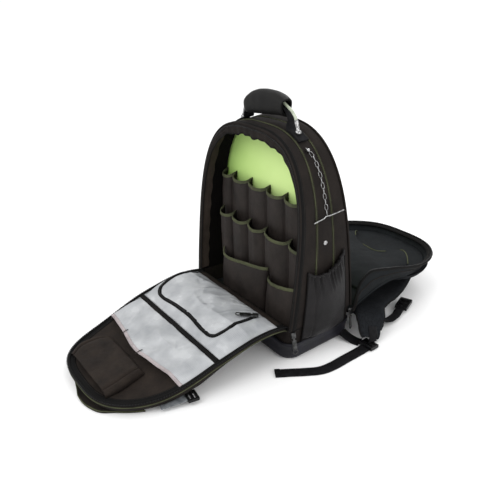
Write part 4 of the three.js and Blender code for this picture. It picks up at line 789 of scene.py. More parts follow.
def upper_row(name, seams, layer, front, mouth, overlap, seed):
    fall = [(front - r["down"] * overlap, r["out"], 1) for r in HIDDEN_FOOT]
    fall += [((front + mouth) / 2, 0.95, 1), (mouth, 1, 1)]

    def edge(_, bulge):
        return mouth + lerp(MOUTH_PEAK, -MOUTH_SAG, bulge)

    pocket_row(name, seams, layer, fall, edge, seed)


def low_pocket(name, height, mouth, left, right, seed):
    foot = BASE_WALL + 3 * GAP + BODY_WALL
    fall = [(lerp(foot, height, r["up"]), r["out"], r["tuck"]) for r in LOW_FALL]

    def edge(share, bulge):
        return height * column(mouth, "height", "across", (share - left) / (right - left))

    pocket_row(name, [left, right], LOW_LAYER, fall, edge, seed)


def tool_pockets():
    low_top = max(LOW_LEFT_HEIGHT, LOW_RIGHT_HEIGHT)
    upper_row("top_tool_pockets", TOP_SEAMS, 0, MIDDLE_ROW_HEIGHT, TOP_ROW_HEIGHT, TOP_ROW_OVERLAP, 11)
    upper_row("middle_tool_pockets", MIDDLE_SEAMS, 1, low_top, MIDDLE_ROW_HEIGHT, MIDDLE_ROW_OVERLAP, 17)
    left, middle, right = LOW_SEAMS
    part = GAP / BODY_HALF_WIDTH
    left_end = middle - part - POCKET_WALL / BODY_HALF_WIDTH
    low_pocket("low_left_pocket", LOW_LEFT_HEIGHT, LOW_LEFT_MOUTH, left, left_end, 23)
    low_pocket("low_right_pocket", LOW_RIGHT_HEIGHT, LOW_RIGHT_MOUTH, middle + part, right, 29)


SIDE_POCKET_SHAPE = table(
    "share mouth out",
    (0.16, 0.95, 0.02),
    (0.24, 0.915, 0.42),
    (0.34, 0.9, 0.8),
    (0.46, 0.905, 1),
    (0.58, 0.93, 0.98),
    (0.7, 0.965, 0.8),
    (0.8, 1.01, 0.5),
    (0.88, 1.06, 0.02),
)
SIDE_POCKET_RISE = table(
    "up out", (0, 0.05), (0.05, 0.55), (0.25, 1), (0.55, 1.05), (0.8, 0.86), (0.94, 0.5), (1, 0.42)
)
# Where the side pocket's front panel is sewn to its middle one.
SIDE_POCKET_SEAM = 0.16
# The gathers under the side pocket's hem: how far their wave turns along it, in radians, and how deep.
PLEAT_TURNS = 62
PLEAT_DEPTH = 2.5


def side_pocket():
    """The puffy side pocket, gathered under its elastic mouth, with a seam near its front."""
    foot = BASE_HEIGHT + 1.5
    rows = []
    for up in spread(70):
        row = []
        for s in spread(150):
            share = lerp(SIDE_POCKET_SHAPE[0]["share"], SIDE_POCKET_SHAPE[-1]["share"], s)
            top = column(SIDE_POCKET_SHAPE, "mouth", "share", share)
            out = max(0.0, column(SIDE_POCKET_SHAPE, "out", "share", share))
            z = lerp(foot, SIDE_POCKET_HEIGHT * top, up)
            fat = column(SIDE_POCKET_RISE, "out", "up", up)
            x = half_width_at(z, share) + GUSSET_PUFF + 1.6 + SIDE_POCKET_BULGE * out * fat
            at = vec(x, lerp(front_y(z), back_y(z), share), z)
            start = 0.7 + 0.2 * crumple(vec(s * 60, 0, 0), 9, 3)
            gather = smooth((up - start) / 0.24) * math.sin(math.pi * s) ** 0.5
            stray = 5 * crumple(vec(s * 40, 0, up * 5), 7, 2)
            pleat = math.sin(s * PLEAT_TURNS + stray) * PLEAT_DEPTH * gather
            soft = math.sin(math.pi * s) * (3.4 * crumple(at, 44, 7) + 1.2 * crumple(at, 17, 8))
            seam = -1.6 * math.exp(-(((s - SIDE_POCKET_SEAM) / 0.014) ** 2)) * smooth(8 * (1 - up))
            row.append(at + vec(pleat + soft + seam, 0, 0))
        rows.append(row)
    cloth_shape = Shape().grid(rows)
    piece("side_pocket_cloth", cloth_shape, SHINY_CLOTH, ["side_pocket"], wall=1.2)
    hem = Shape().tube([p + vec(0.4, 0, -1.2) for p in rows[-1]], 2.9)
    piece("side_pocket_hem", hem, SHINY_CLOTH)
    edge = Shape()
    for j in (1, -2):
        edge.tube([row[j] + vec(0.6, 0, 0) for row in rows], 1.4, 6)
    edge.tube([p + vec(0.6, 0, 0) for p in rows[1]], 1.3, 6)
    piece("side_pocket_edges", edge, TAPE)


HINGE_HEIGHT = SILL_HEIGHT + 4
DOOR_PROFILE = table(
    "reach height deep",
    (-DOOR_HINGE_STRIP / DOOR_REACH, 0.955, 0.3),
    (0, 1, 0.3),
    (0.09, 1.05, 0.45),
    (0.19, 1.03, 0.55),
    (0.28, 0.95, 0.6),
    (0.36, 0.86, 0.68),
    (0.44, 0.76, 0.85),
    (0.52, 0.63, 1),
    (0.6, 0.5, 1),
    (0.68, 0.39, 0.95),
    (0.76, 0.32, 0.88),
    (0.84, 0.285, 0.82),
    (0.91, 0.27, 0.78),
    (0.955, 0.262, 0.72),
    (0.985, 0.258, 0.6),
    (1, 0.256, 0.35),
)
DOOR_TOP = FRONT_HEIGHT - SILL_HEIGHT
DOOR_START = DOOR_PROFILE[0]["reach"]
DOOR_HINGE_Y = front_y(SILL_HEIGHT) - GAP - DOOR_HINGE_STRIP


def door_half_width(reach, inset=0.0):
    """The door repeats the outline of the opening that it closes."""
    z = SILL_HEIGHT + (reach + inset / DOOR_REACH) * DOOR_TOP
    return half_width_at(min(z, FRONT_HEIGHT - 0.2)) / BODY_HALF_WIDTH * DOOR_HALF_WIDTH - inset


def door_height(reach):
    return HINGE_HEIGHT * column(DOOR_PROFILE, "height", "reach", reach)


def door_normal(reach):
    step = 0.03
    slope = (door_height(reach + step) - door_height(reach - step)) / (2 * step * DOOR_REACH)
    return vec(0, slope, 1).normalized()


def door_point(x, reach, lift=0.0):
    return vec(x, DOOR_HINGE_Y - reach * DOOR_REACH, door_height(reach)) + door_normal(reach) * lift


def outline(share, half_width, reach_mm, top, start, inset, count=240):
    """A flap's edge from its left hinge corner round the end to the right one, as (x, reach)."""
    places = []
    for u in turns(600):
        x, z = arch_at(share, 1 - abs(u))
        wide = x / (BODY_HALF_WIDTH * lerp(1, BACK_WIDTH_SHARE, share)) * half_width
        places.append(vec(math.copysign(wide, u), (z - SILL_HEIGHT) / top * reach_mm, 0))
    places[0].y = places[-1].y = start
    inner = []
    for k, p in enumerate(places):
        here = inset(p.y / reach_mm) if callable(inset) else inset
        inner.append(p + run_at(places, k).cross(UP) * here)
    return [(p.x, p.y / reach_mm) for p in even(inner, count)]


def door_line(inset, lift):
    """A line on the door along its edge."""
    places = outline(0, DOOR_HALF_WIDTH, DOOR_REACH, DOOR_TOP, -DOOR_HINGE_STRIP, inset)
    return [door_point(x, reach, lift) for x, reach in places]


def door():
    """The door's lining, its wrapped shell, the rolled rim and the zip round it."""
    rows = []
    for t in spread(120):
        reach = lerp(DOOR_START, 0.994, 1 - (1 - t) ** 1.35)
        half = door_half_width(reach, 2.2)
        row = []
        for s in spread(61):
            at = door_point((2 * s - 1) * half, reach)
            calm = smooth(4 * s) * smooth(4 * (1 - s)) * smooth((reach - 0.05) * 6)
            row.append(at + UP * calm * (1.3 * crumple(at, 46, 31) + 0.7 * crumple(at, 17, 32)))
        rows.append(row)
    piece("door_lining_cloth", Shape().grid(rows), DOOR_CLOTH, ["door_lining"], wall=1.6)
    side = [(-1, -0.1), (-1.004, 0.2), (-1, 0.5), (-0.985, 0.75), (-0.94, 0.93), (-0.85, 1)]
    across = side + [(s, 1) for s in (-0.6, -0.3, 0, 0.3, 0.6)] + [(-s, d) for s, d in reversed(side)]
    shell = []
    for t in spread(110):
        reach = lerp(DOOR_START, 1, 1 - (1 - t) ** 1.35)
        wall = column(DOOR_PROFILE, "deep", "reach", reach)
        row = []
        for s, d in across:
            deep = max(d * wall, 0.24) if d > 0 else d
            at = door_point(s * door_half_width(reach), reach, -deep * DOOR_DEPTH)
            row.append(at + vec(math.copysign(0.8, s), 0, 0) * crumple(at, 24, 35))
        shell.append(row)
    shell.append([door_point(s * door_half_width(1), 1.003, 0.1 * DOOR_DEPTH) for s, _ in across])
    piece("door_shell_cloth", Shape().grid(shell), BODY_CLOTH, ["door_shell"], wall=1.6)
    piece("door_rim", Shape().tube(door_line(1.5, 2.0), 3.3, 10), TAPE)
    piece("door_edge_piping", Shape().tube(door_line(-0.6, -4.5), 1.2), OLIVE)
    faces = [UP] * 240
    piece("door_zip_tape", Shape().band(door_line(9, 1.8), faces, 13, 1.2), TAPE)
    coil = Shape().teeth(door_line(-1.4, 3.2), faces, 3.6)
    piece("door_zip_teeth", coil, BUCKLE)
    piece("door_edge_stitches", Shape().stitches(door_line(13, 2.6)), DARK_THREAD)


BAND_REACH = 0.42
BAND_SHARE = (BAND_WIDTH / 2 + 4 * GAP) / DOOR_REACH
VINYL_START = 0.035
VINYL_END = BAND_REACH - BAND_SHARE
VINYL_EDGE = 0.955
VINYL_BASE = 2.0
SLIP_MOUTH = table(
    "across reach",
    (-1, 0.612),
    (-0.93, 0.613),
    (-0.5, 0.628),
    (0, 0.655),
    (0.5, 0.635),
    (0.8, 0.618),
    (1, 0.611),
)


def vinyl_crown(s):
    """How high a vinyl sheet stands across the door: at once at its left, slowly at its right."""
    return smooth((1 + s) / 0.08) * smooth((1 - s) / 0.24)


def vinyl_fold(p, s, along, seed=0.0):
    """Long soft folds and sharp creases of the clear sheet."""
    run = vec(p.x * 0.5 + p.y * 0.35, p.y * 0.9 - p.x * 0.3, 0)
    soft = 2.8 * crumple(run, 38, 41 + seed) + 1.6 * crumple(vec(run.x, run.y * 0.35, 0), 13, 42 + seed)
    sharp = 4.2 * crease(vec(run.x * 0.6, run.y, 0), 52, 44 + seed)
    sharp += 2.4 * crease(vec(p.x * 0.9, p.y * 0.5, 0), 36, 47 + seed)
    calm = (1 - abs(s) ** 8) * math.sin(math.pi * clamp01(along * 0.94 + 0.03)) ** 0.4
    return calm * (soft + sharp)


def slip_reach(s):
    return column(SLIP_MOUTH, "reach", "across", s)


def window_point(s, reach, extra=0.0):
    """A point of the window pocket's top sheet."""
    along = clamp01((reach - VINYL_START) / (VINYL_END - VINYL_START))
    x = s * VINYL_EDGE * door_half_width(reach)
    lift = vinyl_crown(s) * VINYL_LIFT * math.sin(math.pi * along) ** 0.6
    return door_point(x, reach, VINYL_BASE + lift + 0.6 * vinyl_fold(door_point(x, reach), s, along) + extra)


def slip_point(s, along, beyond=0.0, extra=0.0):
    """A point of the slip pocket's sheet; beyond carries on past its mouth, in millimetres."""
    reach = lerp(BAND_REACH + BAND_SHARE, slip_reach(s), along) + beyond / DOOR_REACH
    x = s * VINYL_EDGE * door_half_width(reach)
    folds = 0.8 * vinyl_fold(door_point(x, reach), s, lerp(0.1, 0.75, along), 5.0)
    return door_point(x, reach, VINYL_BASE + VINYL_LIFT * vinyl_crown(s) * along**0.5 + folds + extra)


def vinyl_pockets():
    """The closed window pocket, the slip pocket with its pale bound mouth, and the band between."""
    sides = turns(131)
    rows = [[window_point(s, lerp(VINYL_START, VINYL_END, t)) for s in sides] for t in spread(100)]
    piece("window_pocket_sheet", Shape().grid(rows), VINYL, ["window_pocket"], wall=0.8)
    rows = [[slip_point(s, t) for s in sides] for t in spread(80)]
    piece("slip_pocket_sheet", Shape().grid(rows), VINYL, ["slip_pocket"], wall=0.8)
    faces = [door_normal(slip_reach(s)) for s in sides]
    line = [slip_point(s, 1, SLIP_BINDING_WIDTH / 2, 0.4) for s in sides]
    strip = Shape().band(line, faces, SLIP_BINDING_WIDTH, 1.4)
    piece("slip_pocket_binding", strip, PALE, ["slip_binding"])
    marks = Shape().stitch_rows(line, [(0, -2.2, 0.9), (0, 2.2, 0.9)])
    piece("slip_binding_stitches", marks, PALE)
    band = [door_point(s * VINYL_EDGE * door_half_width(BAND_REACH), BAND_REACH, 2.2) for s in sides]
    faces = [door_normal(BAND_REACH)] * len(band)
    piece("door_band_cloth", Shape().band(band, faces, BAND_WIDTH, 1.8), TAPE, ["door_band"])
    marks = Shape().stitch_rows(band, [(0, -2.7, 1.1), (0, 2.7, 1.1)])
    piece("door_band_stitches", marks, DARK_THREAD)
    stays = Shape()
    for s in (-0.42, 0.12):
        ends = [slip_point(s, 1, off, 1.6) for off in (-5, 12)]
        stays.tube([ends[0], ends[0].lerp(ends[1], 0.5) + UP, ends[1]], 0.8, 6)
    piece("slip_pocket_stays", stays, DARK_THREAD)


# The zip's course, as shares of the door's half-width and reach.
WINDOW_ZIP = table(
    "across reach",
    (-0.83, 0.06),
    (-0.86, 0.13),
    (-0.86, 0.22),
    (-0.82, 0.3),
    (-0.74, 0.34),
    (-0.6, 0.352),
    (-0.25, 0.343),
    (0.1, 0.34),
    (0.42, 0.352),
    (0.6, 0.346),
    (0.67, 0.31),
    (0.69, 0.2),
    (0.7, 0.1),
)


def window_zip():
    """The zip round the window, lying on the vinyl."""
    stops = [vec(row["across"] * DOOR_HALF_WIDTH, row["reach"] * DOOR_REACH, 0) for row in WINDOW_ZIP]
    line, faces = [], []
    for p in even(curve(stops, 220), 200):
        reach = p.y / DOOR_REACH
        line.append(window_point(p.x / DOOR_HALF_WIDTH / VINYL_EDGE, reach, 1.0))
        faces.append(door_normal(reach))
    piece("window_zip_tape", Shape().band(line, faces, 9, 1.4), TAPE, ["window_zip"])
    coil = Shape().teeth([p + f * 0.7 for p, f in zip(line, faces)], faces, 3.2)
    piece("window_zip_teeth", coil, BUCKLE)


PATCH_SHAPE = table(
    "reach lift left right",
    (0.71, 0.08, -0.52, 0.4),
    (0.724, 0.8, -0.58, 0.41),
    (0.79, 1, -0.66, 0.44),
    (0.87, 0.95, -0.66, 0.48),
    (0.94, 0.75, -0.54, 0.49),
)
PATCH_ACROSS = table(
    "s lift", (-1, 0), (-0.985, 0.35), (-0.9, 0.62), (0, 0.85), (0.9, 1), (0.985, 0.5), (1, 0)
)


def patch_pocket():
    """The bellows pocket near the round end, with a pleat along each side."""
    rows = []
    for t in spread(60):
        reach = lerp(PATCH_SHAPE[0]["reach"], PATCH_SHAPE[-1]["reach"], t)
        left, right, tall = [column(PATCH_SHAPE, key, "reach", reach) for key in ("left", "right", "lift")]
        row = []
        for s in turns(101):
            lift = max(0.0, column(PATCH_ACROSS, "lift", "s", s))
            flat = door_point(lerp(left, right, (s + 1) / 2) * DOOR_HALF_WIDTH, reach)
            soft = (1.5 * crumple(flat, 30, 51) + 0.9 * crumple(flat, 12, 52)) * clamp01(lift * 1.4)
            pleat = -4.5 * math.exp(-(((abs(s) - 0.86) / 0.03) ** 2)) * tall
            row.append(flat + door_normal(reach) * max(2.6 + 14 * lift * tall + soft + pleat, 1.3))
        rows.append(row)
    piece("patch_pocket_cloth", Shape().grid(rows), DOOR_CLOTH, ["patch_pocket"], wall=1.4)
    marks = Shape().stitches([p + UP * 0.5 for p in rows[3]])
    marks.stitches([row[91] + UP * 0.5 for row in rows])
    piece("patch_pocket_stitches", marks, DARK_THREAD)


OUTER_POCKET = table(
    "across past thick",
    (-0.8, -0.04, 0.8),
    (-0.5, -0.03, 0.8),
    (-0.2, -0.012, 0.9),
    (0, 0.008, 1),
    (0.1, 0.021, 1),
    (0.25, 0.026, 1),
    (0.39, 0.023, 1),
    (0.53, 0.014, 1),
    (0.62, -0.015, 0.9),
    (0.8, -0.04, 0.8),
)


def door_reach_at(x):
    """How far along the door its outline reaches at a place across it."""
    low, high = 0.3, 1.0
    for _ in range(24):
        middle = (low + high) / 2
        low, high = (middle, high) if door_half_width(middle) > abs(x) else (low, middle)
    return low


def outer_pocket():
    """The flat outer pocket under the door, slumped past its round end, with a piped edge."""
    top, low = [], []
    for t in spread(22):
        above, below = [], []
        for across in [0.8 * s for s in turns(61)]:
            x = across * DOOR_HALF_WIDTH
            end = door_reach_at(x) + column(OUTER_POCKET, "past", "across", across)
            reach = lerp(0.8, end, t)
            inside = min(reach, 0.97)
            roof = door_height(inside) - DOOR_DEPTH * column(DOOR_PROFILE, "deep", "reach", inside)
            y = DOOR_HINGE_Y - reach * DOOR_REACH
            tall = min(4.5, roof - 0.8) * column(OUTER_POCKET, "thick", "across", across)
            above.append(vec(x, y, tall + 0.4 * crumple(vec(x, y, 0), 18, 61)))
            below.append(vec(x, y, 0.4))
        top.append(above)
        low.append(below)
    shape = Shape().grid(top).grid([row[::-1] for row in low]).grid([top[-1], low[-1]])
    piece("outer_pocket_cloth", shape, BODY_CLOTH, ["door_outer_pocket"])
    piece("outer_pocket_piping", Shape().tube(top[-1], 1.2), OLIVE)


COVER_PROFILE = table(
    "reach height rim flare",
    (-COVER_HINGE_STRIP / COVER_REACH, COVER_HINGE_SHARE, 0.05, 0),
    (0, 0.62, 0.06, 0),
    (0.03, 0.75, 0.8, 0),
    (0.07, 0.83, 1, 0),
    (0.12, 0.9, 1.05, 0),
    (0.2, 0.98, 0.82, 0.1),
    (0.28, 1, 0.64, 0.3),
    (0.38, 0.98, 0.52, 0.6),
    (0.5, 0.9, 0.44, 0.85),
    (0.62, 0.83, 0.38, 1),
    (0.74, 0.79, 0.36, 1),
    (0.84, 0.77, 0.35, 1),
    (0.92, 0.77, 0.34, 1),
    (0.97, 0.78, 0.33, 1),
    (1, 0.79, 0.32, 1),
)
COVER_TOP = BACK_HEIGHT - SILL_HEIGHT
COVER_HINGE_Y = back_y(COVER_HINGE_SHARE * COVER_RISE - COVER_BOARD) + GAP + COVER_HINGE_STRIP
# The cover's board ends where its flared wall starts.
COVER_LAST = 1 - COVER_FLARE / COVER_REACH


def cover_flare(reach):
    return COVER_FLARE * column(COVER_PROFILE, "flare", "reach", reach)


def cover_half_width(reach, inset=0.0):
    z = SILL_HEIGHT + (reach + inset / COVER_REACH) * COVER_TOP
    half = half_width_at(min(z, BACK_HEIGHT - 0.2), 1)
    return half / (BODY_HALF_WIDTH * BACK_WIDTH_SHARE) * COVER_HALF_WIDTH - inset


def cover_point(x, reach, lift=0.0):
    height = COVER_RISE * column(COVER_PROFILE, "height", "reach", reach)
    return vec(x, COVER_HINGE_Y + reach * COVER_REACH, height + lift)


def cover_outline(inset):
    return outline(1, COVER_HALF_WIDTH, COVER_REACH, COVER_TOP, -COVER_HINGE_STRIP, inset)


def cover_board():
    """The cover's padded board, its lining above and below."""
    first = COVER_PROFILE[0]["reach"]
    rows = []
    for t in spread(110):
        share = lerp(first, 1, 1 - (1 - t) ** 1.35)
        reach = share * COVER_LAST if share > 0 else share
        half = cover_half_width(reach, cover_flare(share) - 1.5)
        row = []
        for k in spread(61):
            at = cover_point((2 * k - 1) * half, reach)
            soft = 1.8 * crumple(at, 60, 71) + 0.6 * crumple(at, 19, 72)
            row.append(at + UP * math.sin(math.pi * k) ** 0.5 * soft)
        rows.append(row)
    under = [[p - UP * (COVER_BOARD - 1) for p in reversed(row)] for row in rows]
    piece("cover_lining", Shape().grid(rows).grid(under), COVER_CLOTH, ["cover_board"])


def cover_wall():
    """The cover's flared side wall with its piping and its thick rolled zip edge."""
    rows = []
    for (xi, ri), (xo, ro) in zip(cover_outline(cover_flare), cover_outline(0)):
        foot = cover_point(xi, min(ri, COVER_LAST), -COVER_BOARD)
        base = foot + UP * COVER_BOARD
        head = cover_point(xo, ro, COVER_RIM_HEIGHT * column(COVER_PROFILE, "rim", "reach", ro))
        out = vec(math.copysign(1, xo), 0.4, 0) if ro < 0.8 else vec(xo / 90, 1, 0).normalized()
        row = [foot, foot.lerp(base, 0.5)]
        for k in spread(10):
            at = base.lerp(head, k)
            row.append(at + out * math.sin(math.pi * k) * (2.5 + 1.8 * crumple(at, 26, 73)))
        rows.append(row)
    piece("cover_wall", Shape().grid(rows), COVER_CLOTH, ["cover_rim"], wall=2.2)
    crest = [row[-1] for row in rows]
    piece("cover_edge_roll", Shape().tube(crest, 3.4, 10), TAPE)
    fold = []
    for row in rows:
        inward = vec(-row[-1].x, COVER_HINGE_Y + COVER_REACH * 0.5 - row[-1].y, 0).normalized()
        fold.append([row[-1] + inward * 12 * t - UP * 5 * t**1.5 + UP * 2.2 for t in spread(6)])
    piece("cover_zip_edge", Shape().grid(fold), TAPE, wall=1.2)
    marks = Shape().stitches([row[3] + UP * 1.0 for row in fold])
    piece("cover_edge_stitches", marks, DARK_THREAD)
    teeth = Shape().teeth([p + UP * 3.2 for p in crest], [UP] * len(crest), 3.6)
    piece("cover_zip_teeth", teeth, BUCKLE)
    piece("cover_wall_piping", Shape().tube([row[7] for row in rows], 1.2, 6), BODY_CLOTH)


SLEEVE_MOUTH = table(
    "across reach",
    (-0.9, 0.8),
    (-0.6, 0.71),
    (-0.3, 0.63),
    (0, 0.585),
    (0.28, 0.575),
    (0.42, 0.66),
    (0.55, 0.76),
    (0.72, 0.735),
    (0.9, 0.65),
)


def sleeve():
    """The document sleeve with its scooped, bound mouth."""
    rows = []
    for t in spread(60):
        row = []
        for s in turns(101):
            reach = lerp(0.1, column(SLEEVE_MOUTH, "reach", "across", 0.9 * s), t)
            half = cover_half_width(reach, 6 + cover_flare(reach))
            edge = 1 - abs(s) ** 10
            at = cover_point(0.9 * s * half, reach, 3.0 + 10 * edge * (0.05 + 0.95 * t**0.4))
            row.append(at + UP * edge * (1.4 * crumple(at, 44, 81) + 0.6 * crumple(at, 16, 82)))
        rows.append(row)
    piece("sleeve_cloth", Shape().grid(rows), COVER_CLOTH, ["document_sleeve"], wall=1.4)
    mouth = [p + UP * 0.4 for p in even(rows[-1], 160)]
    bound = Shape()
    for stretch in (slice(0, 30), slice(62, 101), slice(122, 160)):
        bound.tube(mouth[stretch], 1.3)
    piece("sleeve_binding", bound, OLIVE)


PAD_SHAPE = table(
    "reach half thick",
    (0.12, 0.45, 0.35),
    (0.2, 0.52, 0.85),
    (0.28, 0.58, 1),
    (0.38, 0.7, 1),
    (0.5, 0.88, 1),
    (0.62, 0.92, 1),
    (0.74, 0.94, 0.95),
    (0.84, 0.95, 0.8),
    (0.92, 0.93, 0.6),
    (0.97, 0.85, 0.35),
)


def back_pad():
    """The back padding under the cover: channelled foam in knitted mesh."""
    top, bottom = [], []
    for t in spread(90):
        reach = lerp(PAD_SHAPE[0]["reach"], PAD_SHAPE[-1]["reach"], t)
        half = column(PAD_SHAPE, "half", "reach", reach) * cover_half_width(reach)
        tall = column(PAD_SHAPE, "thick", "reach", reach) * math.sin(math.pi * clamp01(t)) ** 0.3
        above, below = [], []
        for s in turns(81):
            roof = cover_point(s * half, reach, -COVER_BOARD - 1)
            spine = 0.22 * math.exp(-((s / 0.1) ** 2))
            crossing = 0.16 * math.exp(-((((t * 3) % 1 - 0.5) / 0.09) ** 2))
            channel = 1 - spine - crossing
            depth = 2 + (BACK_PAD_THICKNESS - 2) * tall * (1 - abs(s) ** 5) ** 0.5 * channel
            above.append(roof)
            below.append(roof - UP * (depth + 0.8 * crumple(roof, 30, 91)))
        top.append(above)
        bottom.append(below[::-1])
    made = piece("back_padding", Shape().grid(top).grid(bottom), MESH, ["back_pad"])


def strap_place(side, row):
    return vec(
        side * row["out"] * BODY_HALF_WIDTH,
        COVER_HINGE_Y + row["back"] * COVER_REACH,
        row["up"] * COVER_RISE,
    )


SHOULDER_PATH = table(
    "out back up turn wide",
    (0.352, 0.829, 0.37, 14, 0.82),
    (0.477, 0.691, 0.315, 20, 0.95),
    (0.614, 0.541, 0.3, 24, 1),
    (0.739, 0.392, 0.35, 28, 1),
    (0.835, 0.271, 0.44, 36, 1),
    (0.92, 0.171, 0.48, 50, 1),
    (1.023, 0.11, 0.51, 72, 1),
    (1.114, 0.072, 0.49, 86, 1),
    (1.182, 0.044, 0.39, 90, 1),
    (1.222, 0.028, 0.28, 90, 0.92),
    (1.25, 0.024, 0.19, 90, 0.72),
    (1.262, 0.018, 0.14, 90, 0.6),
)
LOCK_PLACE = {"out": 1.291, "back": 0.0177, "up": 0.05}


def shoulder_strap(name, side):
    """A padded shoulder strap with bound edges, and the webbing sewn to its lower end."""
    count = 90
    line = curve([strap_place(side, row) for row in SHOULDER_PATH], count)
    shares = curve([vec(row["turn"], row["wide"], 0) for row in SHOULDER_PATH], count)
    rings, edges, faces = [], ([], []), []
    for i, p in enumerate(line):
        along = run_at(line, i)
        angle = math.radians(shares[i].x)
        across = vec(math.cos(angle), side * math.sin(angle), 0)
        across = (across - along * across.dot(along)).normalized()
        face = along.cross(across).normalized()
        half = SHOULDER_WIDTH / 2 * shares[i].y
        ring = []
        for k in range(28):
            turn = 2 * math.pi * k / 28
            w = math.copysign(abs(math.cos(turn)) ** 0.5, math.cos(turn))
            t = math.copysign(abs(math.sin(turn)) ** 0.75, math.sin(turn))
            groove = 1 - 0.16 * math.exp(-((w / 0.35) ** 2))
            at = p + across * w * half + face * t * SHOULDER_THICKNESS / 2 * groove
            ring.append(at + face * 0.7 * crumple(at, 20, 95))
        rings.append(ring)
        faces.append(face)
        edges[0].append(p + across * half)
        edges[1].append(p - across * half)
    pad = Shape().grid(rings, wrap=True, caps=True)
    made = piece(f"shoulder_pad_{name}", pad, MESH, [f"shoulder_strap_{name}"])
    rim = Shape().tube(edges[0], 2.4).tube(edges[1], 2.4)
    piece(f"shoulder_binding_{name}", rim, TAPE)
    last = 22
    top = [p + f * SHOULDER_THICKNESS * 0.5 for p, f in zip(line[-last:], faces[-last:])]
    end = strap_place(side, LOCK_PLACE)
    top += [top[-1].lerp(end, 0.5) + UP * 2, end]
    over = Shape().band(even(top, 40), [faces[-1]] * 40, SHOULDER_WEBBING_WIDTH)
    piece(f"shoulder_webbing_{name}", over, BLACK_WEBBING)


TAIL_PATH = table(
    "out back up",
    (1.301, -0.0515, 0.026),
    (1.307, -0.105, 0.014),
    (1.318, -0.221, 0.014),
    (1.33, -0.331, 0.014),
    (1.307, -0.414, 0.014),
    (1.216, -0.497, 0.014),
    (1.125, -0.569, 0.014),
    (1.045, -0.635, 0.014),
)
ANCHOR_PATH = table(
    "out back up", (0.954, -0.077, 0.15), (1.034, -0.066, 0.08), (1.114, -0.05, 0.03), (1.185, -0.036, 0.024)
)
CHEST_PATH = table(
    "out back up",
    (0.9545, 0.147, 0.392),
    (1.011, 0.1773, 0.383),
    (1.06, 0.209, 0.2),
    (1.085, 0.267, 0.1),
    (1.06, 0.35, 0.09),
    (1.02, 0.4, 0.1),
    (0.985, 0.443, 0.105),
)


def strap_band(name, path, side, width, node, face):
    """Flat webbing along a strap's places, with a folded and sewn end."""
    line = curve([strap_place(side, row) for row in path], 90)
    shape = Shape().band(line, [face] * 90, width)
    shape.band([p + face * 1.6 for p in line[-7:]], [face] * 7, width * 0.98, 1.6)
    piece(name, shape, BLACK_WEBBING, [node])


def strap_trims(name, side):
    """The webbing tail on the floor, the short anchor and the half chest strap."""
    wide = SHOULDER_WEBBING_WIDTH
    strap_band(f"tail_webbing_{name}", TAIL_PATH, side, wide, f"strap_webbing_{name}", UP)
    slope = (strap_place(side, ANCHOR_PATH[-1]) - strap_place(side, ANCHOR_PATH[0])).normalized()
    face = slope.cross((vec(0, 1, 0) - slope * slope.y).normalized())
    if face.z < 0:
        face = -face
    strap_band(f"anchor_webbing_{name}", ANCHOR_PATH, side, wide, f"strap_anchor_{name}", face)
    strap_band(f"chest_strap_{name}", CHEST_PATH, side, CHEST_WEBBING_WIDTH, f"chest_webbing_{name}", UP)


HANDLE_WEBBING_WIDTH = 26
HANDLE_HALF_SPAN = 66
HANDLE_ANCHOR_X = 103
HANDLE_RISE = 41
HANDLE_TURN_DEG = 11
HANDLE_SWAY = -7
HANDLE_LEAN = 4
GRIP_HALF_LENGTH = 50
GRIP_HEIGHT = 43
GRIP_THICKNESS = 30
GRIP_OVER = 15.5
GRIP_TILT = 0.08
CABLE_RADIUS = 3
TERMINAL_X = 86
TERMINAL_LENGTH = 24
STUD_UNDER = 3
STUD_OVER = 4.5
BOW_LEFT = {"power": 2, "root": 0.62}
BOW_RIGHT = {"power": 3, "root": 0.5}
LYING = [1, 0.89, 0.77, 0.68]
BOW = [0.985, 0.95, 0.85, 0.7, 0.4, 0]
FERRULE_LEAN = {"in": 0.42, "back": 0.039}
CROWN_SHARE = (FRONT_SEAM_SHARE + REAR_SEAM_SHARE) / 2
CROWN_LIFT = GUSSET_PUFF + WEBBING_THICKNESS / 2 + 2 * GAP
CROWN_SLOPE = (BACK_HEIGHT - FRONT_HEIGHT) / (back_y(BACK_HEIGHT) - front_y(FRONT_HEIGHT))
TURN = math.radians(HANDLE_TURN_DEG)


def crown_z(x):
    full = BODY_HALF_WIDTH * lerp(1, BACK_WIDTH_SHARE, CROWN_SHARE)
    top = lerp(FRONT_HEIGHT, BACK_HEIGHT, CROWN_SHARE)
    return ARCH_START + (top - ARCH_START) * (1 - clamp01(abs(x) / full) ** ARCH_POWER) ** (1 / ARCH_POWER)


def crown_point(x, lift):
    """A point over the crown, lifted square to it."""
    z = crown_z(x)
    out = arch_normal(x, z, CROWN_SHARE)
    out.y = -CROWN_SLOPE * out.z
    return vec(x, lerp(front_y(z), back_y(z), CROWN_SHARE), z) + out.normalized() * lift


def bow_height(x):
    bow = BOW_LEFT if x < 0 else BOW_RIGHT
    return HANDLE_RISE * (1 - clamp01(abs(x) / HANDLE_HALF_SPAN) ** bow["power"]) ** bow["root"]


def bow_point(x, extra=0.0):
    """The handle's bow turns about Z, and sways to one side and to the front as it rises."""
    rise = bow_height(x) / HANDLE_RISE
    y = crown_point(0, 0).y - HANDLE_LEAN * rise + math.tan(TURN) * x * rise**0.5
    return vec(x + HANDLE_SWAY * rise, y, crown_z(x) + CROWN_LIFT + bow_height(x) + extra)


